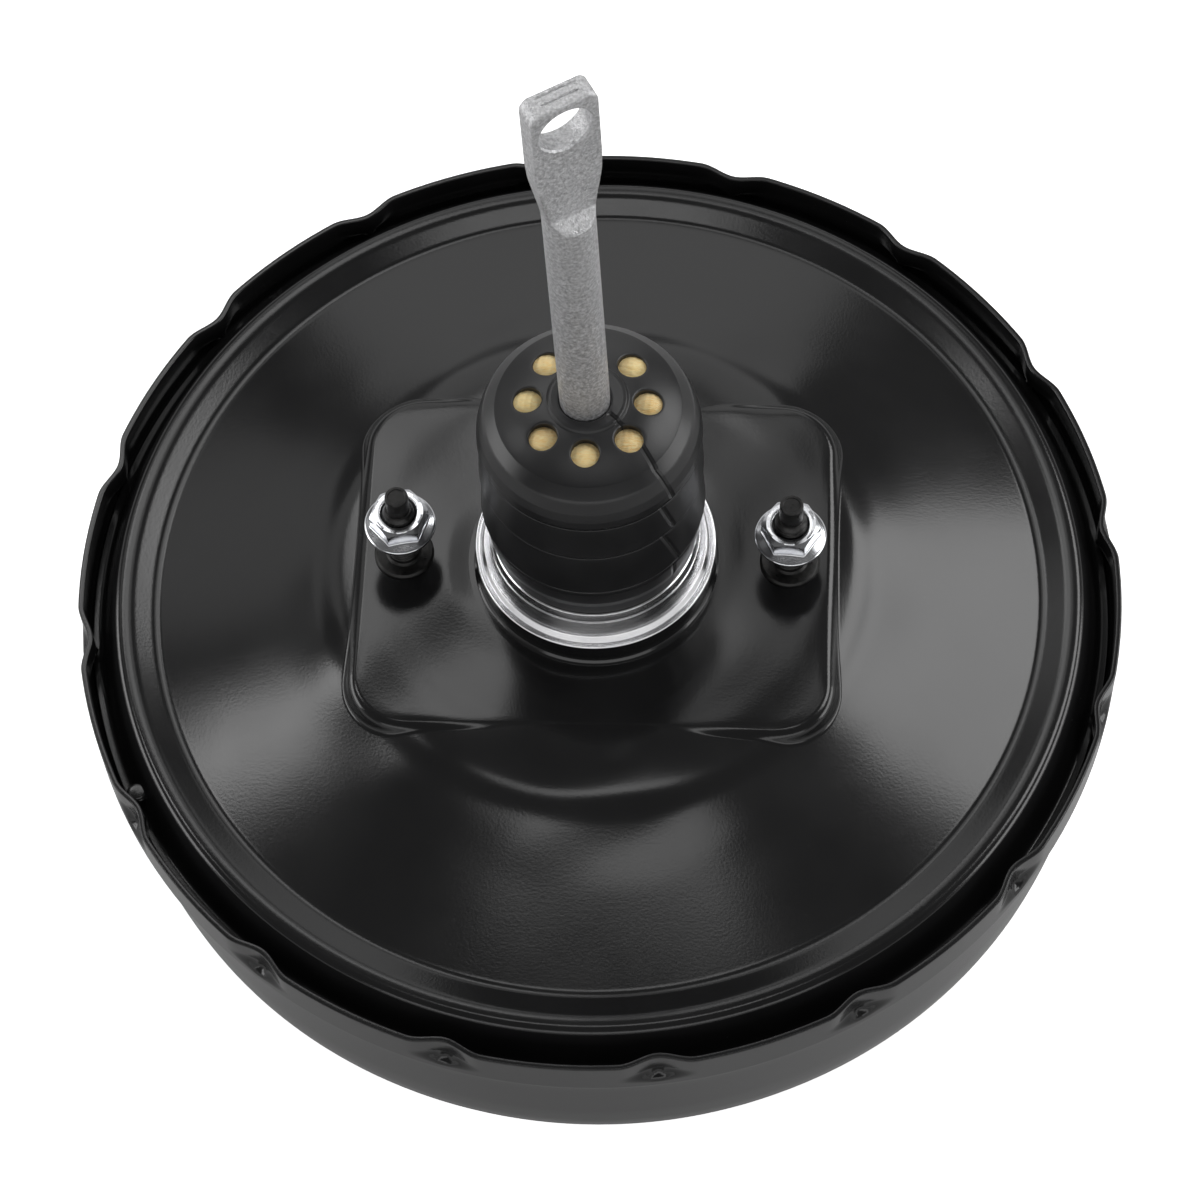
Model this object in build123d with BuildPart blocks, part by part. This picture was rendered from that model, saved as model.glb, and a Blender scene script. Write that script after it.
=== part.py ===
from build123d import *
import os
from math import cos, radians, sin

# Single-diaphragm vacuum brake booster, millimetres.
# +Z runs along the booster's axis towards the pedal, X runs through the two firewall studs,
# and the origin is the centre of the firewall mounting face.

os.makedirs("parts", exist_ok=True)

# ---- driving dimensions ----

sheet = 1.5                 # pressed steel of both shells
rim_r = 134.0               # outside of the crimped rim
rim_top_z = -12.5
flange_z = -22.5            # seat of the rear shell's flange inside the rim
dent_count = 16             # crimp dents round the rim
first_dent = 8.5            # angle of the first dent from +X
dent_depth = 2.4
dent_half_angle = 4.0

plateau_x = 123.0           # raised firewall face
plateau_y = 97.0
plateau_y_offset = -1.3
plateau_corner_r = 15.0
boss_r = 67.5               # round boss under the plateau
boss_z = -1.3
crease_r = 113.9            # valley between the cone and the outer bead
crease_z = -14.5

neck_r = 30.0               # drawn neck round the valve body
neck_bore_r = 28.5
neck_step_z = 8.0           # the plated ring starts here
neck_top_z = 16.0

stud_spacing = 98.0         # firewall studs, M8
stud_r = 4.0
stud_tip_z = 28.5
stud_collar_r = 7.6         # serrated collar, with a relief round the shank
stud_relief_r = 5.25
stud_neck_r = 3.8           # shank between the plates
nut_flange_r = 9.0
nut_height = 6.5
nut_base_left_z = 14.5
nut_base_right_z = 12.9

master_face_z = -100.0      # master-cylinder face at the front
master_pcd = 82.0
master_stud_angle = 120.0
master_stud_length = 26.0
pilot_r = 19.0              # recess for the master cylinder's nose
pilot_floor_z = -86.0
plate_thickness = 2.5       # stiffening plates behind both mounting faces
front_plate_r = 51.0

valve_r = 24.5              # tail of the valve body
valve_tail_z = 69.4
hub_top_z = -14.0
hub_front_z = -34.0
hub_r = 34.0
tail_bore_r = 21.9
guide_r = 9.05              # bore for the air-valve plunger
stem_bore_r = 5.6
reaction_r = 12.8           # rubber reaction disc, and the output rod's head
passage_ring_r = 17.0       # four vacuum passages through the hub
passage_r = 2.4
passage_count = 4
running_gap = 0.05          # radial, between sliding pieces

boot_r = 26.5               # rubber boot
boot_wall = 1.3
boot_top_z = 75.6
boot_shoulder_z = 66.5
fold_z = [31.0, 47.7, 61.0]
breather_count = 8          # air holes through the boot's cap
breather_ring_r = 14.3
breather_r = 3.4

filter_foot_z = 66.6        # felt and foam rings inside the tail
filter_top_z = 70.9
filter_bore_r = 9.9
silencer_foot_z = 57.0
silencer_bore_r = 16.5

ball_z = 36.0               # ball joint of the input rod
ball_r = 6.45
rod_r = 6.0
rod_turn = 30.0             # turn of the eye's flat face about the axis
rod_lean = 1.0              # rest lean of the rod, degrees
eye_z = 188.2
eye_bore_r = 6.2
eye_half_width = 8.0
eye_thickness = 5.8

output_rod_r = 6.0
output_rod_tip_z = -101.5
adjuster_r = 2.95

spring_wire = 4.0           # return spring
spring_r = 26.0
spring_turns = 4.5

port_r = 94.0               # vacuum port on the front shell
port_angle = 62.0
port_hole_r = 9.5
port_boss_r = 15.5
port_boss_height = 1.4
stem_r = 6.0                # check-valve stem in its grommet
cap_r = 11.9                # check-valve cap and its cavity
cap_bore_r = 9.6
nipple_height = 16.2
barb_r = 5.0
barb_count = 3
barb_step = 5.0


def polar(radius, angle):
    """Point on a circle round the booster's axis."""
    return Vector(radius * cos(radians(angle)), radius * sin(radians(angle)))


def along(angle):
    """Direction of travel round the axis at an angle."""
    return Vector(-sin(radians(angle)), cos(radians(angle)))


def dented_circle(radius):
    """Circle with the crimp dents: long arcs joined by smooth inward waves."""
    pitch = 360 / dent_count
    for i in range(dent_count):
        middle = first_dent + i * pitch
        start = middle - dent_half_angle
        end = middle + dent_half_angle
        Spline(
            polar(radius, start),
            polar(radius - dent_depth, middle),
            polar(radius, end),
            tangents=[along(start), along(end)],
        )
        CenterArc((0, 0), radius, end, pitch - 2 * dent_half_angle)


# ---- front shell: the deep bowl with the crimped rim ----

bowl_line = [
    (rim_r, rim_top_z - 9),
    (rim_r, -24.4),
    (rim_r - 1.3, -25.6),
    (rim_r - 1.3, -28.0),
    (rim_r - 3.6, -29.8),
    (rim_r - 5.2, -74.5),
    (62, master_face_z + 3.2),
    (56, master_face_z),
    (pilot_r, master_face_z),
    (pilot_r, pilot_floor_z),
    (output_rod_r + 2, pilot_floor_z),
]
bowl_bends = [0, 0, 0, 0, 24, 0, 0, 0, 0]

# The port boss stands square to the bowl's cone.
cone_fall = (master_face_z + 3.2 + 74.5) / (62 - (rim_r - 5.2))
port_z = -74.5 + cone_fall * (port_r - (rim_r - 5.2))
port_tilt = Vector(cone_fall * cos(radians(port_angle)), cone_fall * sin(radians(port_angle)), -1)
port_plane = Plane(
    origin=(port_r * cos(radians(port_angle)), port_r * sin(radians(port_angle)), port_z),
    x_dir=Vector(cos(radians(port_angle)), sin(radians(port_angle)), cone_fall),
    z_dir=port_tilt,
)

with BuildPart() as front_shell:
    with BuildSketch(Plane.XZ):
        with BuildLine():
            FilletPolyline(*bowl_line, radius=bowl_bends)
            offset(amount=sheet, side=Side.RIGHT, kind=Kind.INTERSECTION)
        make_face()
    revolve(axis=Axis.Z)
    with BuildSketch(Plane.XY.offset(rim_top_z - 9)):
        with BuildLine():
            dented_circle(rim_r)
        make_face()
        with BuildLine():
            dented_circle(rim_r - sheet)
        make_face(mode=Mode.SUBTRACT)
    extrude(amount=9)
    # Each dent is lanced just above the flange it holds down.
    with Locations((0, 0, rim_top_z - 7.2)):
        with PolarLocations(rim_r - dent_depth, dent_count, start_angle=first_dent):
            Box(9, 5.2, 3.2, mode=Mode.SUBTRACT)
    with BuildSketch(port_plane.offset(-1.0)):
        Circle(port_boss_r)
    extrude(amount=1.0 + port_boss_height)
    with BuildSketch(port_plane.offset(-6)):
        Circle(port_boss_r - sheet)
    extrude(amount=6, mode=Mode.SUBTRACT)
    with BuildSketch(port_plane.offset(-6)):
        Circle(port_hole_r)
    extrude(amount=10, mode=Mode.SUBTRACT)
    with BuildSketch(Plane.XY.offset(master_face_z - 1)):
        with PolarLocations(master_pcd / 2, 2, start_angle=master_stud_angle):
            Circle(stud_r + 0.15)
    extrude(amount=4, mode=Mode.SUBTRACT)
front_shell.part.label = "front_shell"
export_step(front_shell.part, "parts/front_shell.step")

# ---- rear shell: shallow cone with the firewall plateau and the neck ----

cover_line = [
    (rim_r - 2.5, flange_z),
    (129.0, flange_z),
    (124.2, -12.0),
    (120.5, -11.7),
    (crease_r, crease_z),
    (boss_r + 1.6, -2.9),
    (boss_r - 0.6, boss_z),
    (neck_r - 1.0, boss_z),
]
cover_bends = [0, 2.2, 2.6, 3.0, 0, 0]

neck_line = [
    (neck_r + 8, 0),
    (neck_r, 0),
    (neck_r, neck_step_z),
    (neck_r - 1.1, neck_step_z),
    (neck_r - 1.1, neck_top_z),
    (neck_bore_r - 1.1, neck_top_z),
    (neck_bore_r - 1.1, neck_step_z + 0.4),
    (neck_bore_r, neck_step_z - 0.7),
    (neck_bore_r, -sheet),
    (neck_r + 8, -sheet),
]

under_cover = [
    (neck_bore_r, boss_z - sheet),
    (boss_r - 1.0, boss_z - sheet),
    (boss_r + 1.2, -2.9 - sheet),
    (88, -9.6),
    (88, -20),
    (neck_bore_r, -20),
]

pin_r = 2.8
pin_place = polar(129.0, -152.3)
with BuildPart() as rear_shell:
    with BuildSketch(Plane.XZ):
        with BuildLine():
            FilletPolyline(*cover_line, radius=cover_bends)
            offset(amount=sheet, side=Side.LEFT, kind=Kind.INTERSECTION)
        make_face()
    revolve(axis=Axis.Z)
    with BuildSketch(Plane.XY.offset(-7)):
        with Locations((0, plateau_y_offset)):
            RectangleRounded(plateau_x, plateau_y, plateau_corner_r)
    extrude(amount=7)
    plateau_top = rear_shell.faces().sort_by(Axis.Z)[-1]
    fillet(plateau_top.edges(), 2.2)
    with BuildSketch(Plane.XY.offset(-7)):
        with Locations((0, plateau_y_offset)):
            RectangleRounded(plateau_x - 2 * sheet, plateau_y - 2 * sheet, plateau_corner_r - sheet)
    extrude(amount=7 - sheet, mode=Mode.SUBTRACT)
    with BuildSketch(Plane.XZ):
        with BuildLine():
            Polyline(*under_cover, close=True)
        make_face()
    revolve(axis=Axis.Z, mode=Mode.SUBTRACT)
    with BuildSketch(Plane.XZ):
        with BuildLine():
            Polyline(*neck_line, close=True)
        make_face()
    revolve(axis=Axis.Z)
    with BuildSketch(Plane.XY.offset(-10)):
        Circle(neck_bore_r)
    extrude(amount=10 + neck_step_z - 0.7, mode=Mode.SUBTRACT)
    with BuildSketch(Plane.XY.offset(-3)):
        with Locations((-stud_spacing / 2, 0), (stud_spacing / 2, 0)):
            Circle(stud_collar_r + 0.05)
    extrude(amount=4, mode=Mode.SUBTRACT)
    with BuildSketch(Plane.XY.offset(flange_z - 2 * sheet)):
        with Locations(pin_place):
            Circle(pin_r + 0.02)
    extrude(amount=14, mode=Mode.SUBTRACT)
rear_shell.part.label = "rear_shell"
export_step(rear_shell.part, "parts/rear_shell.step")

# ---- locating pin: a short peg through the flange that marks how the shells are turned ----

with BuildPart() as locating_pin:
    with BuildSketch(Plane.XY.offset(flange_z - sheet)):
        with Locations(pin_place):
            Circle(pin_r)
    extrude(amount=sheet + 3.6)
    chamfer(locating_pin.faces().sort_by(Axis.Z)[-1].edges(), 0.4)
locating_pin.part.label = "locating_pin"
export_step(locating_pin.part, "parts/locating_pin.step")

# ---- plated ring that clamps the boot on the neck ----

ring_line = [
    (neck_r - 1.1, neck_step_z),
    (neck_r + 0.5, neck_step_z),
    (neck_r + 0.5, neck_step_z + 5.2),
    (neck_r, neck_step_z + 6.3),
    (neck_r - 0.3, neck_step_z + 6.7),
    (neck_r - 1.8, neck_step_z + 12.2),
    (neck_r - 2.4, neck_step_z + 13.0),
    (neck_r - 2.9, neck_step_z + 12.8),
    (neck_r - 2.9, neck_step_z + 12.0),
    (neck_r - 1.1, neck_step_z + 8.0),
]
with BuildPart() as neck_ring:
    with BuildSketch(Plane.XZ):
        with BuildLine():
            Polyline(*ring_line, close=True)
        make_face()
    revolve(axis=Axis.Z)
neck_ring.part.label = "neck_ring"
export_step(neck_ring.part, "parts/neck_ring.step")

# ---- neck bearing, lip seal and its washer ----

with BuildPart() as guide_bush:
    with BuildSketch(Plane.XZ):
        with BuildLine():
            Polyline(
                (valve_r + 0.06, 8.6),
                (valve_r + 0.06, neck_top_z - 0.4),
                (neck_bore_r - 1.15, neck_top_z - 0.4),
                (neck_bore_r - 1.15, 8.6),
                close=True,
            )
        make_face()
    revolve(axis=Axis.Z)
guide_bush.part.label = "guide_bush"
export_step(guide_bush.part, "parts/guide_bush.step")

with BuildPart() as neck_seal:
    with BuildSketch(Plane.XZ):
        with BuildLine():
            Polyline(
                (neck_bore_r - 0.05, -1.4),
                (neck_bore_r - 0.05, 6.8),
                (valve_r + 1.2, 6.8),
                (valve_r + 0.08, 5.6),
                (valve_r + 0.08, 4.4),
                (valve_r + 1.4, 3.2),
                (valve_r + 1.4, 1.4),
                (valve_r + 0.08, 0.4),
                (valve_r + 0.08, -1.4),
                close=True,
            )
        make_face()
    revolve(axis=Axis.Z)
neck_seal.part.label = "neck_seal"
export_step(neck_seal.part, "parts/neck_seal.step")

with BuildPart() as seal_washer:
    with BuildSketch(Plane.XY.offset(-3.0)):
        Circle(neck_bore_r + 6.5)
        Circle(valve_r + 0.6, mode=Mode.SUBTRACT)
    extrude(amount=1.5)
seal_washer.part.label = "seal_washer"
export_step(seal_washer.part, "parts/seal_washer.step")

# ---- firewall reinforcement, studs and flange nuts ----

with BuildPart() as firewall_plate:
    with BuildSketch(Plane.XY.offset(-sheet - plate_thickness)):
        with Locations((0, plateau_y_offset)):
            RectangleRounded(plateau_x - 8, plateau_y - 12, 12)
        Circle(neck_bore_r + 6.6, mode=Mode.SUBTRACT)
        with Locations((-stud_spacing / 2, 0), (stud_spacing / 2, 0)):
            Circle(stud_r + 0.1, mode=Mode.SUBTRACT)
    extrude(amount=plate_thickness)
firewall_plate.part.label = "firewall_plate"
export_step(firewall_plate.part, "parts/firewall_plate.step")

stud_line = [
    (0, -7.4),
    (stud_collar_r - 0.5, -7.4),
    (stud_collar_r, -6.9),
    (stud_collar_r, -sheet - plate_thickness),
    (stud_neck_r, -sheet - plate_thickness),
    (stud_neck_r, -sheet),
    (stud_collar_r, -sheet),
    (stud_collar_r, 0.8),
    (stud_collar_r - 0.5, 1.2),
    (stud_relief_r, 1.2),
    (stud_relief_r, -0.1),
    (stud_r, -0.1),
    (stud_r, 11.0),
    (stud_r - 0.1, 11.2),
    (stud_r - 0.1, 21.6),
    (stud_r - 0.8, 22.6),
    (3.0, 23.2),
    (3.0, stud_tip_z - 0.5),
    (2.6, stud_tip_z),
    (0, stud_tip_z),
]
with BuildPart() as firewall_studs:
    for x in (-stud_spacing / 2, stud_spacing / 2):
        with BuildSketch(Plane.XZ.shift_origin((x, 0, 0))):
            with BuildLine():
                Polyline(*stud_line, close=True)
            make_face()
        revolve(axis=Axis((x, 0, 0), (0, 0, 1)))
firewall_studs.part.label = "firewall_studs"
export_step(firewall_studs.part, "parts/firewall_studs.step")

nut_places = [
    (-stud_spacing / 2, nut_base_left_z, 12),
    (stud_spacing / 2, nut_base_right_z, -3),
]
with BuildPart() as flange_nuts:
    for x, base_z, turn in nut_places:
        with BuildSketch(Plane.XZ.shift_origin((x, 0, 0))):
            with BuildLine():
                Polyline(
                    (stud_r - 0.05, base_z),
                    (nut_flange_r - 0.3, base_z),
                    (nut_flange_r, base_z + 0.3),
                    (nut_flange_r, base_z + 1.1),
                    (6.4, base_z + 2.4),
                    (stud_r - 0.05, base_z + 2.4),
                    close=True,
                )
            make_face()
        revolve(axis=Axis((x, 0, 0), (0, 0, 1)))
        with BuildSketch(Plane.XY.offset(base_z + 1.0)):
            with Locations(Location((x, 0), turn)):
                RegularPolygon(6.5, 6, major_radius=False)
            with Locations((x, 0)):
                Circle(stud_r - 0.05, mode=Mode.SUBTRACT)
        extrude(amount=nut_height - 1.0)
        # The hexagon's corners are turned away in a cone, and the thread's mouth is chamfered.
        with BuildSketch(Plane.XZ.shift_origin((x, 0, 0))):
            with BuildLine():
                Polyline(
                    (6.2, base_z + nut_height + 0.1),
                    (8.4, base_z + nut_height + 0.1),
                    (8.4, base_z + nut_height - 1.1),
                    close=True,
                )
            make_face()
            with BuildLine():
                Polyline(
                    (0, base_z + nut_height + 0.1),
                    (4.85, base_z + nut_height + 0.1),
                    (stud_r - 0.1, base_z + nut_height - 0.8),
                    (0, base_z + nut_height - 0.8),
                    close=True,
                )
            make_face()
        revolve(axis=Axis((x, 0, 0), (0, 0, 1)), mode=Mode.SUBTRACT)
flange_nuts.part.label = "flange_nuts"
export_step(flange_nuts.part, "parts/flange_nuts.step")

# ---- front reinforcement and master-cylinder studs ----

plate_back_z = master_face_z + sheet + plate_thickness
with BuildPart() as front_plate:
    with BuildSketch(Plane.XY.offset(master_face_z + sheet)):
        Circle(front_plate_r)
        Circle(pilot_r + sheet + 1.5, mode=Mode.SUBTRACT)
        with PolarLocations(master_pcd / 2, 2, start_angle=master_stud_angle):
            Circle(stud_r + 0.1, mode=Mode.SUBTRACT)
    extrude(amount=plate_thickness)
front_plate.part.label = "front_plate"
export_step(front_plate.part, "parts/front_plate.step")

with BuildPart() as master_studs:
    with BuildSketch(Plane.XY.offset(plate_back_z)):
        with PolarLocations(master_pcd / 2, 2, start_angle=master_stud_angle):
            Circle(7.5)
    extrude(amount=3.2)
    with BuildSketch(Plane.XY.offset(plate_back_z)):
        with PolarLocations(master_pcd / 2, 2, start_angle=master_stud_angle):
            Circle(stud_neck_r)
    extrude(amount=master_face_z - plate_back_z)
    with BuildSketch(Plane.XY.offset(master_face_z)):
        with PolarLocations(master_pcd / 2, 2, start_angle=master_stud_angle):
            Circle(stud_r)
    extrude(amount=-master_stud_length)
    chamfer(master_studs.faces().sort_by(Axis.Z)[:2].edges(), 1.0)
master_studs.part.label = "master_studs"
export_step(master_studs.part, "parts/master_studs.step")

with BuildPart() as output_seal:
    with BuildSketch(Plane.XZ):
        with BuildLine():
            Polyline(
                (output_rod_r + 0.06, pilot_floor_z - 0.1),
                (pilot_r - 1.2, pilot_floor_z - 0.1),
                (pilot_r - 0.1, pilot_floor_z - 1.2),
                (pilot_r - 0.1, pilot_floor_z - 4.0),
                (12, pilot_floor_z - 4.0),
                (9.5, pilot_floor_z - 2.2),
                (output_rod_r + 1.4, pilot_floor_z - 4.6),
                (output_rod_r + 0.06, pilot_floor_z - 4.6),
                close=True,
            )
        make_face()
    revolve(axis=Axis.Z)
output_seal.part.label = "output_seal"
export_step(output_seal.part, "parts/output_seal.step")

# ---- vacuum port: grommet and check valve, drawn square to the port boss ----

port_section = Plane(origin=port_plane.origin, x_dir=port_plane.x_dir, z_dir=-port_plane.y_dir)
port_axis = Axis(port_plane.origin, port_plane.z_dir)

with BuildPart() as vacuum_grommet:
    with BuildSketch(port_section):
        with BuildLine():
            Polyline(
                (stem_r + 0.05, -4.5),
                (11.5, -4.5),
                (12.5, -0.3),
                (port_hole_r - 0.1, -0.1),
                (port_hole_r - 0.1, 1.5),
                (13.0, 1.5),
                (13.0, 3.6),
                (11.5, 5.0),
                (stem_r + 0.05, 5.0),
                close=True,
            )
        make_face()
    revolve(axis=port_axis)
vacuum_grommet.part.label = "vacuum_grommet"
export_step(vacuum_grommet.part, "parts/vacuum_grommet.step")

with BuildPart() as check_valve_base:
    with BuildSketch(port_section):
        with BuildLine():
            Polyline(
                (3.2, -7.0),
                (stem_r - 0.6, -7.0),
                (stem_r + 0.6, -5.4),
                (stem_r + 0.6, -4.6),
                (stem_r, -4.6),
                (stem_r, 5.05),
                (11.5, 5.05),
                (11.5, 11.0),
                (cap_bore_r, 11.0),
                (cap_bore_r, 7.4),
                (4.6, 7.4),
                (4.4, 8.2),
                (3.2, 8.2),
                close=True,
            )
        make_face()
    revolve(axis=port_axis)
check_valve_base.part.label = "check_valve_base"
export_step(check_valve_base.part, "parts/check_valve_base.step")

with BuildPart() as check_valve_disc:
    with BuildSketch(port_plane.offset(8.3)):
        Circle(7.6)
    extrude(amount=1.6)
    with BuildSketch(port_plane.offset(9.9)):
        Circle(2.2)
    extrude(amount=1.8)
check_valve_disc.part.label = "check_valve_disc"
export_step(check_valve_disc.part, "parts/check_valve_disc.step")

with BuildPart() as check_valve_cap:
    with BuildSketch(port_section):
        with BuildLine():
            Polyline(
                (0, 20.2),
                (cap_bore_r, 20.2),
                (cap_bore_r, 11.05),
                (cap_r, 11.05),
                (cap_r, 19.8),
                (10.4, 21.6),
                (0, 21.6),
                close=True,
            )
        make_face()
    revolve(axis=port_axis)
    # The hose nipple leaves the side of the cap.
    nipple_plane = Plane(
        origin=port_plane.from_local_coords((0, 0, nipple_height)),
        x_dir=port_plane.z_dir,
        z_dir=port_plane.x_dir,
    )
    with BuildSketch(nipple_plane.offset(10.2)):
        Circle(4.2)
    extrude(amount=25.8)
    for i in range(barb_count):
        with BuildSketch(nipple_plane.offset(19.5 + i * barb_step)):
            Circle(barb_r)
        extrude(amount=1.5)
        with BuildSketch(nipple_plane.offset(21.0 + i * barb_step)):
            Circle(barb_r)
        extrude(amount=3.0, taper=15)
    with BuildSketch(nipple_plane.offset(9.0)):
        Circle(2.6)
    extrude(amount=30, mode=Mode.SUBTRACT)
check_valve_cap.part.label = "check_valve_cap"
export_step(check_valve_cap.part, "parts/check_valve_cap.step")

with BuildPart() as check_valve_spring:
    with BuildLine() as coil:
        Helix(
            pitch=2.4,
            height=9.4,
            radius=3.4,
            center=port_plane.from_local_coords((0, 0, 10.4)),
            direction=port_plane.z_dir,
        )
    with BuildSketch(Plane(origin=coil.line @ 0, z_dir=coil.line % 0)):
        RegularPolygon(0.35, 6)
    sweep(is_frenet=True)
check_valve_spring.part.label = "check_valve_spring"
export_step(check_valve_spring.part, "parts/check_valve_spring.step")

# ---- boot: three overlapping folds under a domed cap with eight breather holes ----

boot_in_r = boot_r - boot_wall
with BuildPart() as boot:
    with BuildSketch(Plane.XZ):
        with BuildLine():
            Polyline(
                (boot_in_r, neck_top_z + 0.1),
                (neck_r - 1.6, neck_top_z + 0.1),
                (neck_r - 1.8, neck_top_z + 1.2),
                (neck_r - 3.1, neck_top_z + 3.8),
                (boot_r + 0.5, neck_top_z + 5.2),
                (boot_r + 0.7, fold_z[0] - 0.2),
                (boot_r + 1.1, fold_z[0]),
                (boot_r + 1.0, fold_z[0] + 1.5),
                (boot_r + 0.5, fold_z[1] - 0.2),
                (boot_r + 0.9, fold_z[1]),
                (boot_r + 0.8, fold_z[1] + 1.3),
                (boot_r + 0.4, fold_z[2] - 0.2),
                (boot_r + 0.7, fold_z[2]),
                (boot_r + 0.5, fold_z[2] + 2.5),
                (boot_r, boot_shoulder_z),
            )
            TangentArc((boot_r, boot_shoulder_z), (22.0, 72.7), tangent=(-0.03, 1))
            Polyline(
                (22.0, 72.7),
                (14.4, boot_top_z - 0.1),
                (9.9, boot_top_z + 0.5),
                (9.3, boot_top_z + 1.6),
                (7.0, boot_top_z + 1.6),
                (7.0, boot_top_z - 2.1),
                (14.0, boot_top_z - 2.4),
                (21.1, 71.6),
            )
            TangentArc((boot_in_r, boot_shoulder_z), (21.1, 71.6), tangent=(0, 1))
            Line((boot_in_r, boot_shoulder_z), (boot_in_r, neck_top_z + 0.1))
        make_face()
    revolve(axis=Axis.Z)
    with BuildSketch(Plane.XY.offset(70)):
        with PolarLocations(breather_ring_r, breather_count):
            Circle(breather_r)
    extrude(amount=10, mode=Mode.SUBTRACT)
boot.part.label = "boot"
export_step(boot.part, "parts/boot.step")

# ---- valve body: hub, tail tube, valve seat and air passages ----

key_slot_low = -7.2
key_slot_high = -2.8
body_line = [
    (reaction_r + 0.2, hub_front_z),
    (reaction_r + 0.2, -24.0),
    (stem_bore_r, -24.0),
    (stem_bore_r, 6.0),
    (guide_r, 6.0),
    (guide_r, 30.0),
    (12.6, 30.0),
    (12.6, 38.2),
    (14.2, 38.2),
    (14.2, 34.0),
    (19.5, 34.0),
    (19.5, 52.0),
    (tail_bore_r, 52.0),
    (tail_bore_r, valve_tail_z),
    (22.6, valve_tail_z),
    (valve_r, valve_tail_z - 2.5),
    (valve_r, hub_top_z),
    (hub_r, hub_top_z),
    (hub_r, hub_top_z - 8),
    (31.0, hub_front_z),
]
with BuildPart() as valve_body:
    with BuildSketch(Plane.XZ):
        with BuildLine():
            Polyline(*body_line, close=True)
        make_face()
    revolve(axis=Axis.Z)
    # Vacuum passages run from the seat's outer channel to the front chamber.
    with BuildSketch(Plane.XY.offset(hub_front_z - 1)):
        with PolarLocations(passage_ring_r, passage_count, start_angle=45):
            Circle(passage_r)
    extrude(amount=34.0 - hub_front_z + 2, mode=Mode.SUBTRACT)
    # Slot for the stop key, open on the +X side, with the air passage above it.
    with BuildSketch(Plane.XY.offset(key_slot_low)):
        with Locations((9.0, 0)):
            Rectangle(43.0, 11.6)
    extrude(amount=key_slot_high - key_slot_low, mode=Mode.SUBTRACT)
    with BuildSketch(Plane.XY.offset(key_slot_high - 0.5)):
        with Locations((10.9, 3.2), (10.9, -3.2)):
            Circle(1.5)
    extrude(amount=31 - key_slot_high, mode=Mode.SUBTRACT)
valve_body.part.label = "valve_body"
export_step(valve_body.part, "parts/valve_body.step")

with BuildPart() as stop_key:
    with BuildSketch(Plane.XY.offset(-6.5)):
        with Locations((8.1, 0)):
            RectangleRounded(39.8, 11.0, 1.5)
        with Locations((-8, 0)):
            Rectangle(16, 8.8, mode=Mode.SUBTRACT)
        Circle(4.4, mode=Mode.SUBTRACT)
    extrude(amount=3.1)
stop_key.part.label = "stop_key"
export_step(stop_key.part, "parts/stop_key.step")

# ---- diaphragm and its plate ----

plate_line = [
    (valve_r + 0.3, hub_top_z + 1.2),
    (40, hub_top_z + 1.2),
    (103.5, -20.5),
    (107.5, -23.0),
    (110.5, -38.0),
]
with BuildPart() as diaphragm_plate:
    with BuildSketch(Plane.XZ):
        with BuildLine():
            Polyline(*plate_line)
            offset(amount=1.2, side=Side.RIGHT, kind=Kind.INTERSECTION)
        make_face()
    revolve(axis=Axis.Z)
diaphragm_plate.part.label = "diaphragm_plate"
export_step(diaphragm_plate.part, "parts/diaphragm_plate.step")

diaphragm_line = [
    (29, hub_top_z + 1.4),
    (40, hub_top_z + 1.4),
    (104.0, -20.2),
    (108.2, -22.8),
    (113.0, -46.5),
    (115.6, -50),
    (120.6, -50),
    (123.3, -46.5),
    (125.5, -25.9),
    (129.5, -25.9),
]
with BuildPart() as diaphragm:
    with BuildSketch(Plane.XZ):
        with BuildLine():
            Polyline(*diaphragm_line)
            offset(amount=1.6, side=Side.LEFT, kind=Kind.INTERSECTION)
        make_face()
    revolve(axis=Axis.Z)
    with BuildSketch(Plane.XZ):
        with Locations((27.4, hub_top_z + 3.35)):
            Rectangle(4.6, 4.1)
    revolve(axis=Axis.Z)
diaphragm.part.label = "diaphragm"
export_step(diaphragm.part, "parts/diaphragm.step")

# ---- reaction disc, output rod, its adjuster and retainer ----

with BuildPart() as reaction_disc:
    with BuildSketch(Plane.XY.offset(-29.0)):
        Circle(reaction_r)
    extrude(amount=4.9)
reaction_disc.part.label = "reaction_disc"
export_step(reaction_disc.part, "parts/reaction_disc.step")

with BuildPart() as output_rod:
    with BuildSketch(Plane.XZ):
        with BuildLine():
            Polyline(
                (0, -29.05),
                (reaction_r, -29.05),
                (reaction_r, -33.0),
                (9.0, -34.0),
                (output_rod_r, -37.0),
                (output_rod_r, output_rod_tip_z + 1),
                (output_rod_r - 1, output_rod_tip_z),
                (0, output_rod_tip_z),
                close=True,
            )
        make_face()
    revolve(axis=Axis.Z)
    with BuildSketch(Plane.XY.offset(output_rod_tip_z)):
        Circle(adjuster_r + running_gap)
    extrude(amount=14, mode=Mode.SUBTRACT)
output_rod.part.label = "output_rod"
export_step(output_rod.part, "parts/output_rod.step")

with BuildPart() as rod_adjuster:
    with BuildSketch(Plane.XY.offset(-90.0)):
        Circle(adjuster_r)
    extrude(amount=-12.5)
    with BuildSketch(Plane.XY.offset(-102.0)):
        RegularPolygon(4.0, 6, major_radius=False)
    extrude(amount=-3.0)
    with BuildSketch(Plane.XY.offset(-105.0)):
        Circle(4.0)
    extrude(amount=-2.5)
    fillet(rod_adjuster.faces().sort_by(Axis.Z)[0].edges(), 1.8)
rod_adjuster.part.label = "rod_adjuster"
export_step(rod_adjuster.part, "parts/rod_adjuster.step")

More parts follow.
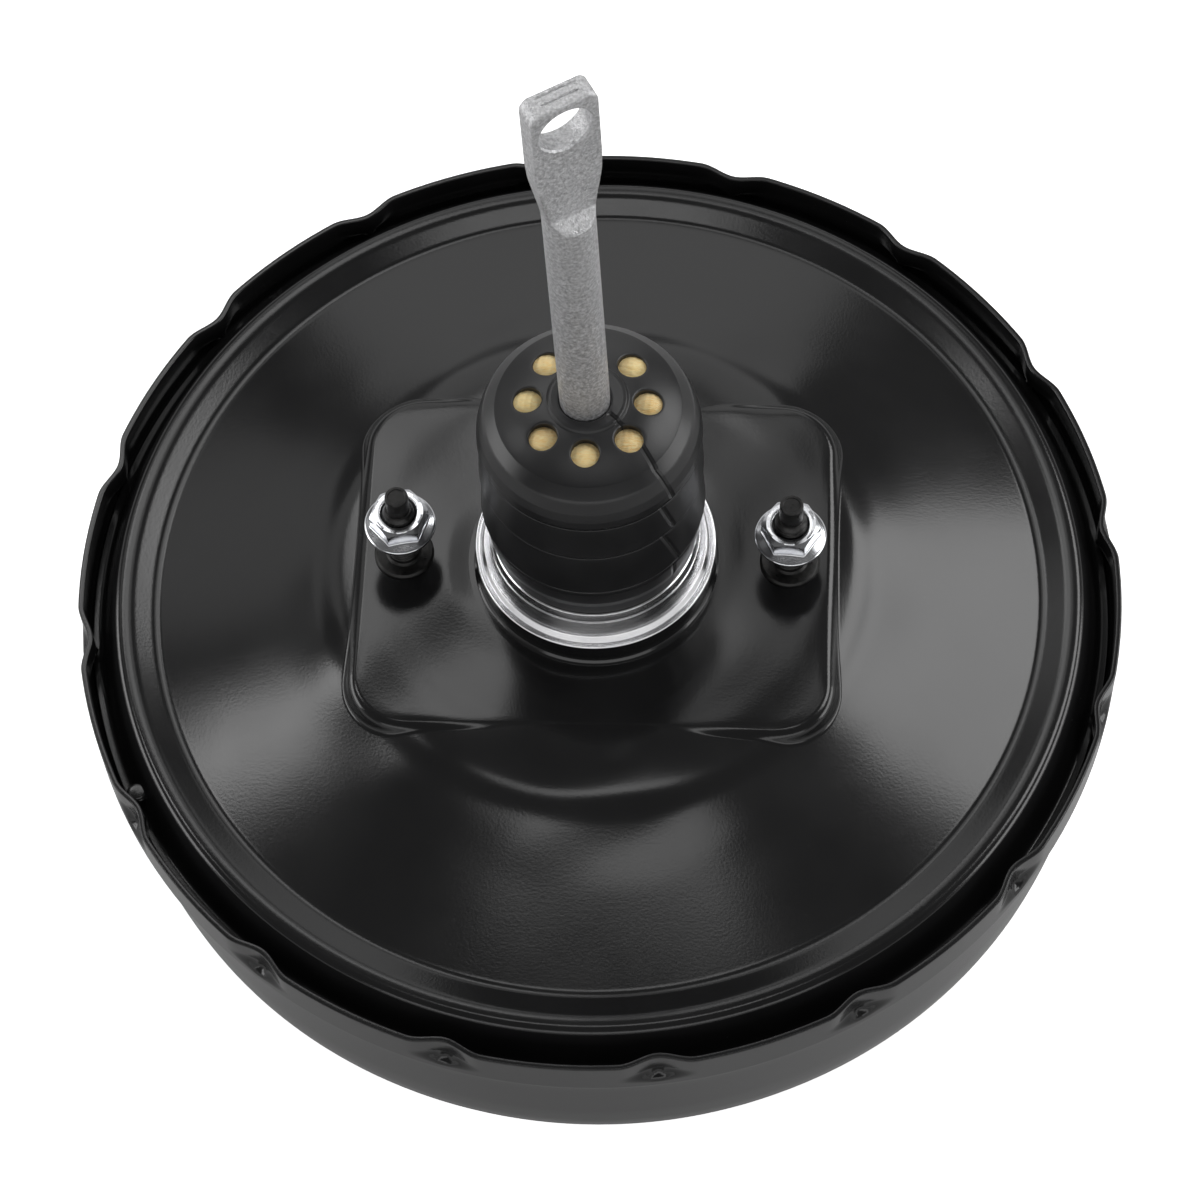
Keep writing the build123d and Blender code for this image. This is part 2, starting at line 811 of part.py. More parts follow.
with BuildPart() as rod_retainer:
    with BuildSketch(Plane.XY.offset(hub_front_z - 1.2)):
        Circle(30.0)
        Circle(10.5, mode=Mode.SUBTRACT)
        with PolarLocations(passage_ring_r, passage_count, start_angle=45):
            Circle(passage_r + 0.2, mode=Mode.SUBTRACT)
    extrude(amount=1.15)
rod_retainer.part.label = "rod_retainer"
export_step(rod_retainer.part, "parts/rod_retainer.step")

spring_top_z = hub_front_z - 1.3 - spring_wire / 2
spring_foot_z = plate_back_z + 0.1 + spring_wire / 2
spring_height = spring_top_z - spring_foot_z
with BuildPart() as return_spring:
    with BuildLine(Plane.XY.offset(spring_foot_z)) as coil:
        Helix(pitch=spring_height / spring_turns, height=spring_height, radius=spring_r)
    with BuildSketch(Plane(origin=coil.line @ 0, z_dir=coil.line % 0)):
        RegularPolygon(spring_wire / 2, 8)
    sweep(is_frenet=True)
return_spring.part.label = "return_spring"
export_step(return_spring.part, "parts/return_spring.step")

# ---- air-valve plunger with the ball socket ----

with BuildPart() as air_valve_plunger:
    with BuildSketch(Plane.XZ):
        with BuildLine():
            Polyline(
                (0, -21.9),
                (stem_bore_r - running_gap, -21.9),
                (stem_bore_r - running_gap, -7.0),
                (4.0, -7.0),
                (4.0, -1.2),
                (stem_bore_r - running_gap, -1.2),
                (stem_bore_r - running_gap, 8.2),
                (guide_r - running_gap, 8.2),
                (guide_r - running_gap, 28.0),
                (8.6, 29.0),
                (8.6, 35.0),
                (11.3, 37.6),
                (11.3, 38.7),
                (10.0, 38.7),
                (9.0, 38.0),
                (8.7, 43.0),
                (5.4, 42.2),
                (6.5, 39.6),
                (6.5, ball_z),
            )
            CenterArc((0, ball_z), 6.5, 0, -90)
            Line((0, ball_z - 6.5), (0, -21.9))
        make_face()
    revolve(axis=Axis.Z)
air_valve_plunger.part.label = "air_valve_plunger"
export_step(air_valve_plunger.part, "parts/air_valve_plunger.step")

# ---- poppet valve: steel face washer, rubber bellows, retainer and springs ----

with BuildPart() as poppet_washer:
    with BuildSketch(Plane.XY.offset(40.6)):
        Circle(15.6)
        Circle(10.4, mode=Mode.SUBTRACT)
    extrude(amount=0.8)
poppet_washer.part.label = "poppet_washer"
export_step(poppet_washer.part, "parts/poppet_washer.step")

with BuildPart() as poppet_rubber:
    with BuildSketch(Plane.XZ):
        with BuildLine():
            Polyline(
                (9.7, 39.0),
                (16.4, 39.0),
                (17.4, 42.5),
                (16.2, 46.0),
                (17.6, 49.2),
                (19.3, 49.2),
                (19.3, 51.9),
                (16.8, 51.9),
                (16.2, 50.2),
                (14.8, 46.0),
                (15.9, 42.4),
                (15.7, 41.6),
                (15.7, 40.5),
                (9.7, 40.5),
                close=True,
            )
        make_face()
    revolve(axis=Axis.Z)
poppet_rubber.part.label = "poppet_rubber"
export_step(poppet_rubber.part, "parts/poppet_rubber.step")

with BuildPart() as poppet_retainer:
    with BuildSketch(Plane.XZ):
        with BuildLine():
            Polyline(
                (tail_bore_r - running_gap, 52.1),
                (tail_bore_r - running_gap, 53.5),
                (12.0, 53.5),
                (12.0, 52.1),
                close=True,
            )
        make_face()
    revolve(axis=Axis.Z)
poppet_retainer.part.label = "poppet_retainer"
export_step(poppet_retainer.part, "parts/poppet_retainer.step")

with BuildPart() as poppet_spring:
    with BuildLine(Plane.XY.offset(42.0)) as coil:
        Helix(pitch=3.2, height=9.6, radius=13.2)
    with BuildSketch(Plane(origin=coil.line @ 0, z_dir=coil.line % 0)):
        RegularPolygon(0.5, 6)
    sweep(is_frenet=True)
poppet_spring.part.label = "poppet_spring"
export_step(poppet_spring.part, "parts/poppet_spring.step")

with BuildPart() as valve_spring:
    with BuildLine(Plane.XY.offset(54.4)) as coil:
        Helix(pitch=3.4, height=6.8, radius=14.0, cone_angle=-22)
    with BuildSketch(Plane(origin=coil.line @ 0, z_dir=coil.line % 0)):
        RegularPolygon(0.8, 6)
    sweep(is_frenet=True)
valve_spring.part.label = "valve_spring"
export_step(valve_spring.part, "parts/valve_spring.step")

with BuildPart() as air_filter:
    with BuildSketch(Plane.XY.offset(filter_foot_z)):
        Circle(tail_bore_r - 0.2)
        Circle(filter_bore_r, mode=Mode.SUBTRACT)
    extrude(amount=filter_top_z - filter_foot_z)
    with BuildSketch(Plane.XY.offset(filter_top_z)):
        Circle(breather_ring_r + breather_r + 0.1)
        Circle(filter_bore_r, mode=Mode.SUBTRACT)
    extrude(amount=1.1)
air_filter.part.label = "air_filter"
export_step(air_filter.part, "parts/air_filter.step")

with BuildPart() as silencer:
    with BuildSketch(Plane.XY.offset(silencer_foot_z)):
        Circle(tail_bore_r - 0.2)
        Circle(silencer_bore_r, mode=Mode.SUBTRACT)
    extrude(amount=filter_foot_z - 0.1 - silencer_foot_z)
silencer.part.label = "silencer"
export_step(silencer.part, "parts/silencer.step")

# ---- input rod: forged steel, ball end below and flat eye above, leaning about its ball ----

rod_across = Vector(cos(radians(rod_turn)), sin(radians(rod_turn)), 0)
rod_axis = Vector(0, 0, 1) * cos(radians(rod_lean)) - rod_across * sin(radians(rod_lean))
rod_front = Vector(sin(radians(rod_turn)), -cos(radians(rod_turn)), 0)
rod_section = Plane(
    origin=Vector(0, 0, ball_z) - rod_axis * ball_z,
    x_dir=rod_front.cross(rod_axis) * -1,
    z_dir=rod_front,
)
rod_line = Axis((0, 0, ball_z), rod_axis)
flat_foot_z = eye_z - 31.0

with BuildPart() as input_rod:
    with BuildSketch(rod_section):
        with BuildLine():
            CenterArc((0, ball_z), ball_r, -90, 146)
            Line(Vector(0, ball_z) + polar(ball_r, 56), (3.6, 43.5))
            Polyline(
                (3.6, 43.5),
                (3.6, 46.0),
                (5.0, 49.0),
                (5.0, 63.4),
                (rod_r, 63.4),
                (rod_r, flat_foot_z + 4),
                (0, flat_foot_z + 4),
                (0, ball_z - ball_r),
            )
        make_face()
    revolve(axis=rod_line)
    # The eye is forged flat: its outline widens from the rod to the bore.
    with BuildSketch(rod_section.offset(-rod_r)):
        with BuildLine():
            Spline(
                (rod_r, flat_foot_z - 1),
                (6.9, flat_foot_z + 14),
                (eye_half_width, eye_z - 2),
                tangents=[(0, 1), (0, 1)],
            )
            Line((eye_half_width, eye_z - 2), (eye_half_width, eye_z + 5.6))
            TangentArc((eye_half_width, eye_z + 5.6), (eye_half_width - 3, eye_z + 8.8), tangent=(0, 1))
            Line((eye_half_width - 3, eye_z + 8.8), (0, eye_z + 8.9))
            mirror(about=Plane.YZ)
            Line((-rod_r, flat_foot_z - 1), (rod_r, flat_foot_z - 1))
        make_face()
    extrude(amount=2 * rod_r)
    # Both faces are cut back to the eye's thickness, with a short ramp where the round rod ends.
    for side in (1, -1):
        with BuildSketch(Plane(rod_section.origin, x_dir=rod_section.y_dir, z_dir=rod_section.x_dir)):
            with BuildLine():
                Polyline(
                    (flat_foot_z - 3.6, -side * (rod_r + 0.4)),
                    (flat_foot_z, -side * eye_thickness / 2),
                    (eye_z + 12, -side * eye_thickness / 2),
                    (eye_z + 12, -side * (rod_r + 0.4)),
                    close=True,
                )
            make_face()
        extrude(amount=12, both=True, mode=Mode.SUBTRACT)
    with BuildSketch(rod_section.offset(-10)):
        with Locations((0, eye_z)):
            Circle(eye_bore_r)
    extrude(amount=20, mode=Mode.SUBTRACT)
input_rod.part.label = "input_rod"
export_step(input_rod.part, "parts/input_rod.step")

with BuildPart() as rod_spring_seat:
    with BuildSketch(Plane(origin=Vector(0, 0, ball_z) + rod_axis * 26.0, z_dir=rod_axis)):
        Circle(10.6)
        Circle(5.05, mode=Mode.SUBTRACT)
    extrude(amount=1.35)
rod_spring_seat.part.label = "rod_spring_seat"
export_step(rod_spring_seat.part, "parts/rod_spring_seat.step")
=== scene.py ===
import bmesh
import bpy
import numpy as np
from mathutils import Matrix, Vector


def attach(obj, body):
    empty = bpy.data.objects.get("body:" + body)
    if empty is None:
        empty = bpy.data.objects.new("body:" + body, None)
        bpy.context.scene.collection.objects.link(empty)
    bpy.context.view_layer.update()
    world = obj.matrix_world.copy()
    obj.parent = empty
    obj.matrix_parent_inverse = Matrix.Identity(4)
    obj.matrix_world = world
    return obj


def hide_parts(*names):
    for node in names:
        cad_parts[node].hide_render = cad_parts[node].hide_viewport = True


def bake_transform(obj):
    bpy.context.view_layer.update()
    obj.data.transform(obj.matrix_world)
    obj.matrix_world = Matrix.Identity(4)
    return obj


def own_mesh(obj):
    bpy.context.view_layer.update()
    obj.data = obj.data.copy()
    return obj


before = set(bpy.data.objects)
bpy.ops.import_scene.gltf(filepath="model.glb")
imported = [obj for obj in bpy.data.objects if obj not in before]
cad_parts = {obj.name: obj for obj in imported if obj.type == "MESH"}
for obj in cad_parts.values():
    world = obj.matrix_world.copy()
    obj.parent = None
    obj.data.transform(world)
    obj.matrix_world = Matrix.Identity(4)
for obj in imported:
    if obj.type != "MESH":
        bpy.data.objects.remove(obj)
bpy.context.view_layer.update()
print("frame loaded:", len(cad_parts), "nodes")

mm = 0.001
weldDistance = 1e-5      # metres


def gridFaces(nu, nv, closeU=False, closeV=False, start=0):
    # Quads of a grid whose vertex (i, j) has the index i * nv + j.
    i = np.arange(nu if closeU else nu - 1)
    j = np.arange(nv if closeV else nv - 1)
    i, j = np.meshgrid(i, j, indexing="ij")
    i2 = (i + 1) % nu
    j2 = (j + 1) % nv
    quads = np.stack([i * nv + j, i2 * nv + j, i2 * nv + j2, i * nv + j2], -1)
    return quads.reshape(-1, 4) + start


def mergeDoubles(mesh, distance):
    # Points closer together than distance (metres) become one.
    edit = bmesh.new()
    edit.from_mesh(mesh)
    bmesh.ops.remove_doubles(edit, verts=edit.verts, dist=distance)
    return edit


def newPiece(name, mesh, sharpAngle):
    mesh.shade_smooth()
    if sharpAngle is not None:
        mesh.set_sharp_from_angle(angle=np.radians(sharpAngle))
    piece = bpy.data.objects.new(name, mesh)
    bpy.context.scene.collection.objects.link(piece)
    return piece


def meshObject(name, patches, sharpAngle=None, turned=False):
    # patches: (points[nu, nv, 3] in millimetres, closeU, closeV). They are joined at their
    # shared points, and all faces turn outwards. A turned grid runs round the other way.
    points, faces, start = [], [], 0
    for grid, closeU, closeV in patches:
        nu, nv = grid.shape[:2]
        faces.append(gridFaces(nu, nv, closeU, closeV, start))
        points.append(grid.reshape(-1, 3))
        start += nu * nv
    faces = np.concatenate(faces)[:, ::-1 if turned else 1]
    mesh = bpy.data.meshes.new(name)
    mesh.from_pydata((np.concatenate(points) * mm).tolist(), [], faces.tolist())
    edit = mergeDoubles(mesh, weldDistance)
    bmesh.ops.recalc_face_normals(edit, faces=edit.faces)
    edit.to_mesh(mesh)
    edit.free()
    mesh.validate()
    return newPiece(name, mesh, sharpAngle)


def roundedLine(corners, steps=6):
    # corners: (x, z) or (x, z, radius). Each corner with a radius becomes an arc that touches
    # both its runs; the arc's half angle fixes where it starts.
    pts = [np.array(c[:2], float) for c in corners]
    radii = [c[2] if len(c) > 2 else 0 for c in corners]
    line = [pts[0]]
    for k in range(1, len(pts) - 1):
        a, b, c, r = pts[k - 1], pts[k], pts[k + 1], radii[k]
        u = (a - b) / np.linalg.norm(a - b)
        v = (c - b) / np.linalg.norm(c - b)
        cosine = np.clip(u @ v, -1, 1)
        if r <= 0 or cosine < -0.9999:
            line.append(b)
            continue
        half = np.arccos(cosine) / 2
        reach = min(r / np.tan(half), 0.49 * min(np.linalg.norm(a - b), np.linalg.norm(c - b)))
        r = reach * np.tan(half)
        centre = b + (u + v) / np.linalg.norm(u + v) * (r / np.sin(half))
        turn = np.pi - 2 * half
        t = np.linspace(0, 1, steps + 1)[:, None]
        p, q = b + u * reach - centre, b + v * reach - centre
        line.extend(centre + (p * np.sin((1 - t) * turn) + q * np.sin(t * turn)) / np.sin(turn))
    line.append(pts[-1])
    return np.array(line)


def dense(line, step):
    # The same line with points no farther apart than step.
    out = [line[:1]]
    for a, b in zip(line[:-1], line[1:]):
        n = max(1, int(np.ceil(np.linalg.norm(b - a) / step)))
        out.append(a + (b - a) * (np.arange(1, n + 1) / n)[:, None])
    return np.concatenate(out)


def evenAngles(count):
    # Equal steps round the whole circle, without the last one.
    return np.linspace(0, 2 * np.pi, count, endpoint=False)


def lathe(line, columns, centre=(0, 0), change=None):
    # Point (i, j) = profile point j turned by angle i; change(radius, z, angle) may move it.
    angles = evenAngles(columns) if np.isscalar(columns) else columns
    r = np.broadcast_to(line[:, 0], (len(angles), len(line)))
    z = np.broadcast_to(line[:, 1], r.shape)
    a = np.broadcast_to(angles[:, None], r.shape)
    if change is not None:
        r, z, a = change(r, z, a)
    return np.stack([centre[0] + r * np.cos(a), centre[1] + r * np.sin(a), z], -1)


def onAxes(grid, origin, xAxis, zAxis):
    # A grid drawn about its own z axis is carried to another origin and direction.
    z = np.array(zAxis, float) / np.linalg.norm(zAxis)
    x = np.array(xAxis, float)
    x = x - z * (x @ z)
    x /= np.linalg.norm(x)
    y = np.cross(z, x)
    return np.array(origin) + grid[..., :1] * x + grid[..., 1:2] * y + grid[..., 2:] * z


def smoothMin(a, b, k):
    # The lower of two values, with the crossing rounded over a width k.
    h = np.clip(0.5 + 0.5 * (b - a) / k, 0, 1)
    return b + (a - b) * h - k * h * (1 - h)


def bump(x):
    # A smooth hill: 1 at 0, and 0 with no slope at -1 and 1.
    x = np.clip(np.abs(x), 0, 1)
    return 1 - x * x * (3 - 2 * x)


def ramp(x, a, b):
    # A smooth step: 0 up to a, 1 from b on, level at both ends.
    t = np.clip((x - a) / (b - a), 0, 1)
    return t * t * (3 - 2 * t)


def newGroup(name, inputs, outputs):
    # Inputs are numbers with a value, or vectors with none; all outputs are numbers.
    group = bpy.data.node_groups.new(name, "ShaderNodeTree")
    for label, value in inputs.items():
        kind = "NodeSocketVector" if value is None else "NodeSocketFloat"
        socket = group.interface.new_socket(name=label, in_out="INPUT", socket_type=kind)
        if value is not None:
            socket.default_value = value
    for label in outputs:
        group.interface.new_socket(name=label, in_out="OUTPUT", socket_type="NodeSocketFloat")
    source = group.nodes.new("NodeGroupInput")
    sink = group.nodes.new("NodeGroupOutput")
    return group, source.outputs, sink.inputs


def feed(tree, socket, value):
    # A socket takes another node's output, or a fixed number, vector or colour.
    if isinstance(value, bpy.types.NodeSocket):
        tree.links.new(value, socket)
    elif socket.type == "RGBA" and len(value) == 3:
        socket.default_value = (*value, 1)
    else:
        socket.default_value = value


def fill(tree, node, values):
    for label, value in values.items():
        feed(tree, node.inputs[label.replace("_", " ")], value)


def addNode(tree, kind, **inputs):
    node = tree.nodes.new("ShaderNode" + kind)
    fill(tree, node, inputs)
    return node


def noiseNode(tree, vector, scale, detail=3, roughness=0.5):
    node = addNode(tree, "TexNoise", Vector=vector, Scale=scale, Detail=detail, Roughness=roughness)
    return node.outputs["Fac"]


def mathNode(tree, operation, *values, clamp=False):
    node = tree.nodes.new("ShaderNodeMath")
    node.operation = operation
    node.use_clamp = clamp
    for socket, value in zip(node.inputs, values):
        feed(tree, socket, value)
    return node.outputs[0]


def vectorNode(tree, operation, first, second):
    # The result is a number for a dot product or a distance, and a vector otherwise.
    node = tree.nodes.new("ShaderNodeVectorMath")
    node.operation = operation
    feed(tree, node.inputs[0], first)
    feed(tree, node.inputs["Scale" if operation == "SCALE" else 1], second)
    return node.outputs["Value" if operation in ("DOT_PRODUCT", "DISTANCE") else "Vector"]


def addShare(tree, base, mask, share):
    # The base plus a share of the mask, held between 0 and 1.
    return mathNode(tree, "ADD", base, mathNode(tree, "MULTIPLY", mask, share), clamp=True)


def rangeNode(tree, value, low, high, toLow=0.0, toHigh=1.0):
    # The stretch from low to high becomes the stretch from toLow to toHigh, held at its ends.
    node = addNode(tree, "MapRange", Value=value, From_Min=low, From_Max=high, To_Min=toLow, To_Max=toHigh)
    return node.outputs["Result"]


effects = {
    "mottleCut": (0.3, 0.7),
    # turn and stretch of each layer of scratches
    "scratches": ((0.4, (60, 2600, 900)), (1.7, (900, 70, 2400)), (2.6, (2300, 1100, 60))),
    "crest": (0.86, 0.9), "crestDrop": 0.2, "speckScale": 420, "speckSize": 0.16,
    "patchScale": 35, "patchCut": (0.5, 0.75),
    "edgeCut": (0.52, 0.62), "breakScale": 700, "breakCut": (0.45, 0.65),
}


def makeMottle():
    # Two noises at different scales: a slow blotch and a fine grain, each from 0 to 1.
    group, source, sink = newGroup("mottle", {"Vector": None, "Blotch Scale": 60.0, "Grain Scale": 2500.0},
                                   ("Blotch", "Grain"))
    for label, detail in (("Blotch", 4), ("Grain", 2)):
        noise = noiseNode(group, source["Vector"], source[label + " Scale"], detail)
        feed(group, sink[label], rangeNode(group, noise, *effects["mottleCut"]))
    return group


def makeScratches():
    # Fine marks: noise stretched along one direction, cut so that only its crests remain.
    group, source, sink = newGroup("scratches", {"Vector": None, "Density": 0.5}, ("Marks",))
    total = None
    low, high = effects["crest"]
    drop = mathNode(group, "MULTIPLY", source["Density"], effects["crestDrop"])
    low = mathNode(group, "SUBTRACT", low, drop)
    for turn, stretch in effects["scratches"]:
        turned = addNode(group, "Mapping", Vector=source["Vector"], Rotation=(turn, turn * 0.7, turn * 1.3),
                         Scale=stretch)
        noise = noiseNode(group, turned.outputs["Vector"], 1.0, 1)
        line = rangeNode(group, noise, low, high)
        total = line if total is None else mathNode(group, "MAXIMUM", total, line)
    feed(group, sink["Marks"], total)
    return group


def makeDust():
    # Small pale specks about the cells' points, kept only where a slow noise is high.
    group, source, sink = newGroup("dust", {"Vector": None, "Amount": 0.3}, ("Specks",))
    cells = addNode(group, "TexVoronoi", Vector=source["Vector"], Scale=effects["speckScale"])
    size = mathNode(group, "MULTIPLY", source["Amount"], effects["speckSize"])
    speck = mathNode(group, "LESS_THAN", cells.outputs["Distance"], size)
    noise = noiseNode(group, source["Vector"], effects["patchScale"], 2)
    patch = rangeNode(group, noise, *effects["patchCut"])
    feed(group, sink["Specks"], mathNode(group, "MULTIPLY", speck, patch))
    return group


def makeWear():
    # Edges that face outwards sharply (pointiness) and are broken up by noise.
    group, source, sink = newGroup("edgeWear", {"Vector": None, "Pointiness": 0.5, "Amount": 0.5},
                                   ("Wear",))
    edge = rangeNode(group, source["Pointiness"], *effects["edgeCut"])
    noise = noiseNode(group, source["Vector"], effects["breakScale"], 4, 0.65)
    broken = rangeNode(group, noise, *effects["breakCut"])
    wear = mathNode(group, "MULTIPLY", mathNode(group, "MULTIPLY", edge, broken), source["Amount"])
    feed(group, sink["Wear"], wear)
    return group


def makeStroke():
    # Distance from a point to the straight stroke from Start to End: the point's share along the
    # stroke, held between 0 and 1, gives the nearest place on it.
    group, source, sink = newGroup("stroke", {"Vector": None, "Start": None, "End": None}, ("Distance",))
    along = vectorNode(group, "SUBTRACT", source["End"], source["Start"])
    away = vectorNode(group, "SUBTRACT", source["Vector"], source["Start"])
    share = mathNode(group, "DIVIDE", vectorNode(group, "DOT_PRODUCT", away, along),
                     vectorNode(group, "DOT_PRODUCT", along, along), clamp=True)
    nearest = vectorNode(group, "SCALE", along, share)
    feed(group, sink["Distance"], vectorNode(group, "DISTANCE", away, nearest))
    return group


groups = {"mottle": makeMottle(), "scratches": makeScratches(), "dust": makeDust(), "wear": makeWear(),
          "stroke": makeStroke()}


def useGroup(tree, name, vector, **values):
    node = tree.nodes.new("ShaderNodeGroup")
    node.node_tree = groups[name]
    fill(tree, node, {"Vector": vector, **values})
    return node.outputs


def mixColour(tree, factor, a, b):
    node = tree.nodes.new("ShaderNodeMix")
    node.data_type = "RGBA"
    for index, value in ((0, factor), (6, a), (7, b)):
        feed(tree, node.inputs[index], value)
    return node.outputs[2]


def bumpNode(tree, height, distance, **normal):
    # distance is the relief's depth in metres; normal may carry an earlier bump.
    return addNode(tree, "Bump", Height=height, Strength=1.0, Distance=distance, **normal).outputs["Normal"]


def startMaterial(name):
    material = bpy.data.materials.new(name)
    material.use_nodes = True
    tree = material.node_tree
    shader = tree.nodes["Principled BSDF"]
    place = tree.nodes.new("ShaderNodeTexCoord").outputs["Object"]
    return material, tree, shader, place


surfaceSet = {
    "markRough": 0.22, "markTone": 0.5, "markLight": 1.6,
    "dustRough": 0.3, "dustTone": 0.5, "dustColour": (0.32, 0.31, 0.30),
}


def surfaceMaterial(name, light, dark, roughness, metallic=0.0, blotch=60, grain=2500,
                    grainDepth=0.00002, blotchDepth=0.0, scratch=0.0, dust=0.0,
                    wear=0.0, wearColour=(0.5, 0.5, 0.5), stretch=None):
    # One recipe for paint, plastic, rubber and plain metal: colour between two tones by a blotch
    # noise, roughness between two values, fine grain and blotches as bump, marks and specks.
    s = surfaceSet
    material, tree, shader, place = startMaterial(name)
    if stretch is not None:
        place = addNode(tree, "Mapping", Vector=place, Scale=stretch).outputs["Vector"]
    mottle = useGroup(tree, "mottle", place, Blotch_Scale=float(blotch), Grain_Scale=float(grain))
    colour = mixColour(tree, mottle["Blotch"], dark, light)
    rough = rangeNode(tree, mottle["Blotch"], 0.0, 1.0, *roughness)
    if scratch > 0:
        marks = useGroup(tree, "scratches", place, Density=scratch)["Marks"]
        rough = addShare(tree, rough, marks, s["markRough"])
        tone = tuple(min(1.0, s["markLight"] * c + 0.01) for c in light)
        colour = mixColour(tree, mathNode(tree, "MULTIPLY", marks, s["markTone"]), colour, tone)
    if dust > 0:
        specks = useGroup(tree, "dust", place, Amount=dust)["Specks"]
        colour = mixColour(tree, mathNode(tree, "MULTIPLY", specks, s["dustTone"]), colour, s["dustColour"])
        rough = addShare(tree, rough, specks, s["dustRough"])
    if wear > 0:
        pointed = addNode(tree, "NewGeometry").outputs["Pointiness"]
        worn = useGroup(tree, "wear", place, Pointiness=pointed, Amount=wear)["Wear"]
        colour = mixColour(tree, worn, colour, wearColour)
    normal = bumpNode(tree, mottle["Grain"], grainDepth)
    if blotchDepth > 0:
        normal = bumpNode(tree, mottle["Blotch"], blotchDepth, Normal=normal)
    fill(tree, shader, {"Base Color": colour, "Roughness": rough, "Metallic": metallic, "Normal": normal})
    return material


paint = surfaceMaterial(
    "satinBlackPaint", light=(0.0110, 0.0110, 0.0113), dark=(0.0080, 0.0080, 0.0083), roughness=(0.14, 0.18),
    blotch=42, grain=1500, grainDepth=0.000005, blotchDepth=0.000008, scratch=0.12, dust=0.16,
    wear=0.35, wearColour=(0.05, 0.05, 0.05))
rubber = surfaceMaterial(
    "bootRubber", light=(0.0140, 0.0140, 0.0147), dark=(0.0100, 0.0100, 0.0105), roughness=(0.29, 0.35),
    blotch=90, grain=2200, grainDepth=0.000006, dust=0.22, wear=0.2, wearColour=(0.03, 0.03, 0.03))
# The slit on the cap in millimetres (x, y), and on the side as (arc length, z), fold by fold.
slit = {
    "cap": ((5.6, -4.7), (7.2, -6.1), (12.2, -10.3), (16.4, -16.4)),
    "side": ((-21.4, 71.7), (-19.4, 61.3), (-23.0, 61.2), (-21.3, 55.0), (-19.3, 47.8), (-23.0, 47.6),
             (-20.6, 40.0), (-18.1, 31.4), (-19.8, 31.2), (-18.9, 23.3)),
    # colour: painted shade for the slit's gap, near black in place of the shade inside the cut.
    "sideR": 27.2, "shoulderZ": 71.8, "width": 0.24, "depth": 0.0003, "colour": (0.001, 0.001, 0.001),
}


def addSlitPaintedShade(material, s):
    # The nearest of all strokes is the slit: its gap gets painted shade, a near-black colour, and goes dull,
    # and its edges turn down into it.
    tree = material.node_tree
    shader = tree.nodes["Principled BSDF"]
    attribute = tree.nodes.new("ShaderNodeAttribute")
    attribute.attribute_name = "restPlace"
    scaled = vectorNode(tree, "SCALE", attribute.outputs["Vector"], 1 / mm)
    x, y, z = addNode(tree, "SeparateXYZ", Vector=scaled).outputs
    arc = mathNode(tree, "MULTIPLY", mathNode(tree, "ARCTAN2", y, x), s["sideR"])
    onCap = mathNode(tree, "GREATER_THAN", z, s["shoulderZ"])
    nearest = []
    for first, second, path in ((x, y, s["cap"]), (arc, z, s["side"])):
        place = addNode(tree, "CombineXYZ", X=first, Y=second).outputs[0]
        least = None
        for start, end in zip(path[:-1], path[1:]):
            distance = useGroup(tree, "stroke", place, Start=(*start, 0), End=(*end, 0))["Distance"]
            least = distance if least is None else mathNode(tree, "MINIMUM", least, distance)
        nearest.append(least)
    side = mathNode(tree, "MULTIPLY", nearest[1], mathNode(tree, "SUBTRACT", 1.0, onCap))
    distance = mathNode(tree, "ADD", side, mathNode(tree, "MULTIPLY", nearest[0], onCap))
    gap = rangeNode(tree, distance, s["width"] * 0.7, s["width"] * 1.3, 1.0, 0.0)
    edge = rangeNode(tree, distance, s["width"], s["width"] * 4)
    colour, rough, normal = (
        shader.inputs[label].links[0].from_socket for label in ("Base Color", "Roughness", "Normal"))
    fill(tree, shader, {
        # Painted shade: inside the gap the colour goes to near black.
        "Base Color": mixColour(tree, gap, colour, s["colour"]),
        "Roughness": mathNode(tree, "MAXIMUM", rough, gap),
        "Normal": bumpNode(tree, edge, s["depth"], Normal=normal),
    })


addSlitPaintedShade(rubber, slit)
innerRubber = surfaceMaterial(
    "sealRubber", light=(0.016, 0.016, 0.016), dark=(0.010, 0.010, 0.010), roughness=(0.5, 0.62),
    blotch=150, grain=2400, grainDepth=0.00002, dust=0.1)
zincPlate = surfaceMaterial(
    "brightZinc", light=(0.80, 0.81, 0.83), dark=(0.66, 0.67, 0.70), roughness=(0.14, 0.24), metallic=1.0,
    blotch=260, grain=3200, grainDepth=0.000004, scratch=0.3, wear=0.3, wearColour=(0.9, 0.9, 0.92))
ringPlate = surfaceMaterial(
    "ringPlate", light=(0.90, 0.90, 0.91), dark=(0.80, 0.80, 0.82), roughness=(0.16, 0.24), metallic=1.0,
    blotch=120, grain=2600, grainDepth=0.000003, scratch=0.2, stretch=(1.0, 1.0, 6.0))
darkStud = surfaceMaterial(
    "darkStud", light=(0.030, 0.029, 0.028), dark=(0.012, 0.012, 0.012), roughness=(0.26, 0.40), metallic=0.6,
    blotch=700, grain=3600, grainDepth=0.00002, wear=0.8, wearColour=(0.16, 0.16, 0.16))
forged = surfaceMaterial(
    "forgedSteel", light=(0.80, 0.80, 0.81), dark=(0.42, 0.42, 0.43), roughness=(0.36, 0.50), metallic=0.9,
    blotch=1300, grain=2800, grainDepth=0.0001, blotchDepth=0.00003, scratch=0.5, wear=0.6,
    wearColour=(0.85, 0.85, 0.86))
plainSteel = surfaceMaterial(
    "plainSteel", light=(0.46, 0.46, 0.47), dark=(0.34, 0.34, 0.35), roughness=(0.28, 0.42), metallic=1.0,
    blotch=180, grain=2400, grainDepth=0.00001, scratch=0.4)
springSteel = surfaceMaterial(
    "springSteel", light=(0.14, 0.14, 0.15), dark=(0.08, 0.08, 0.09), roughness=(0.3, 0.42), metallic=0.9,
    blotch=300, grain=2400, grainDepth=0.00001, scratch=0.3)
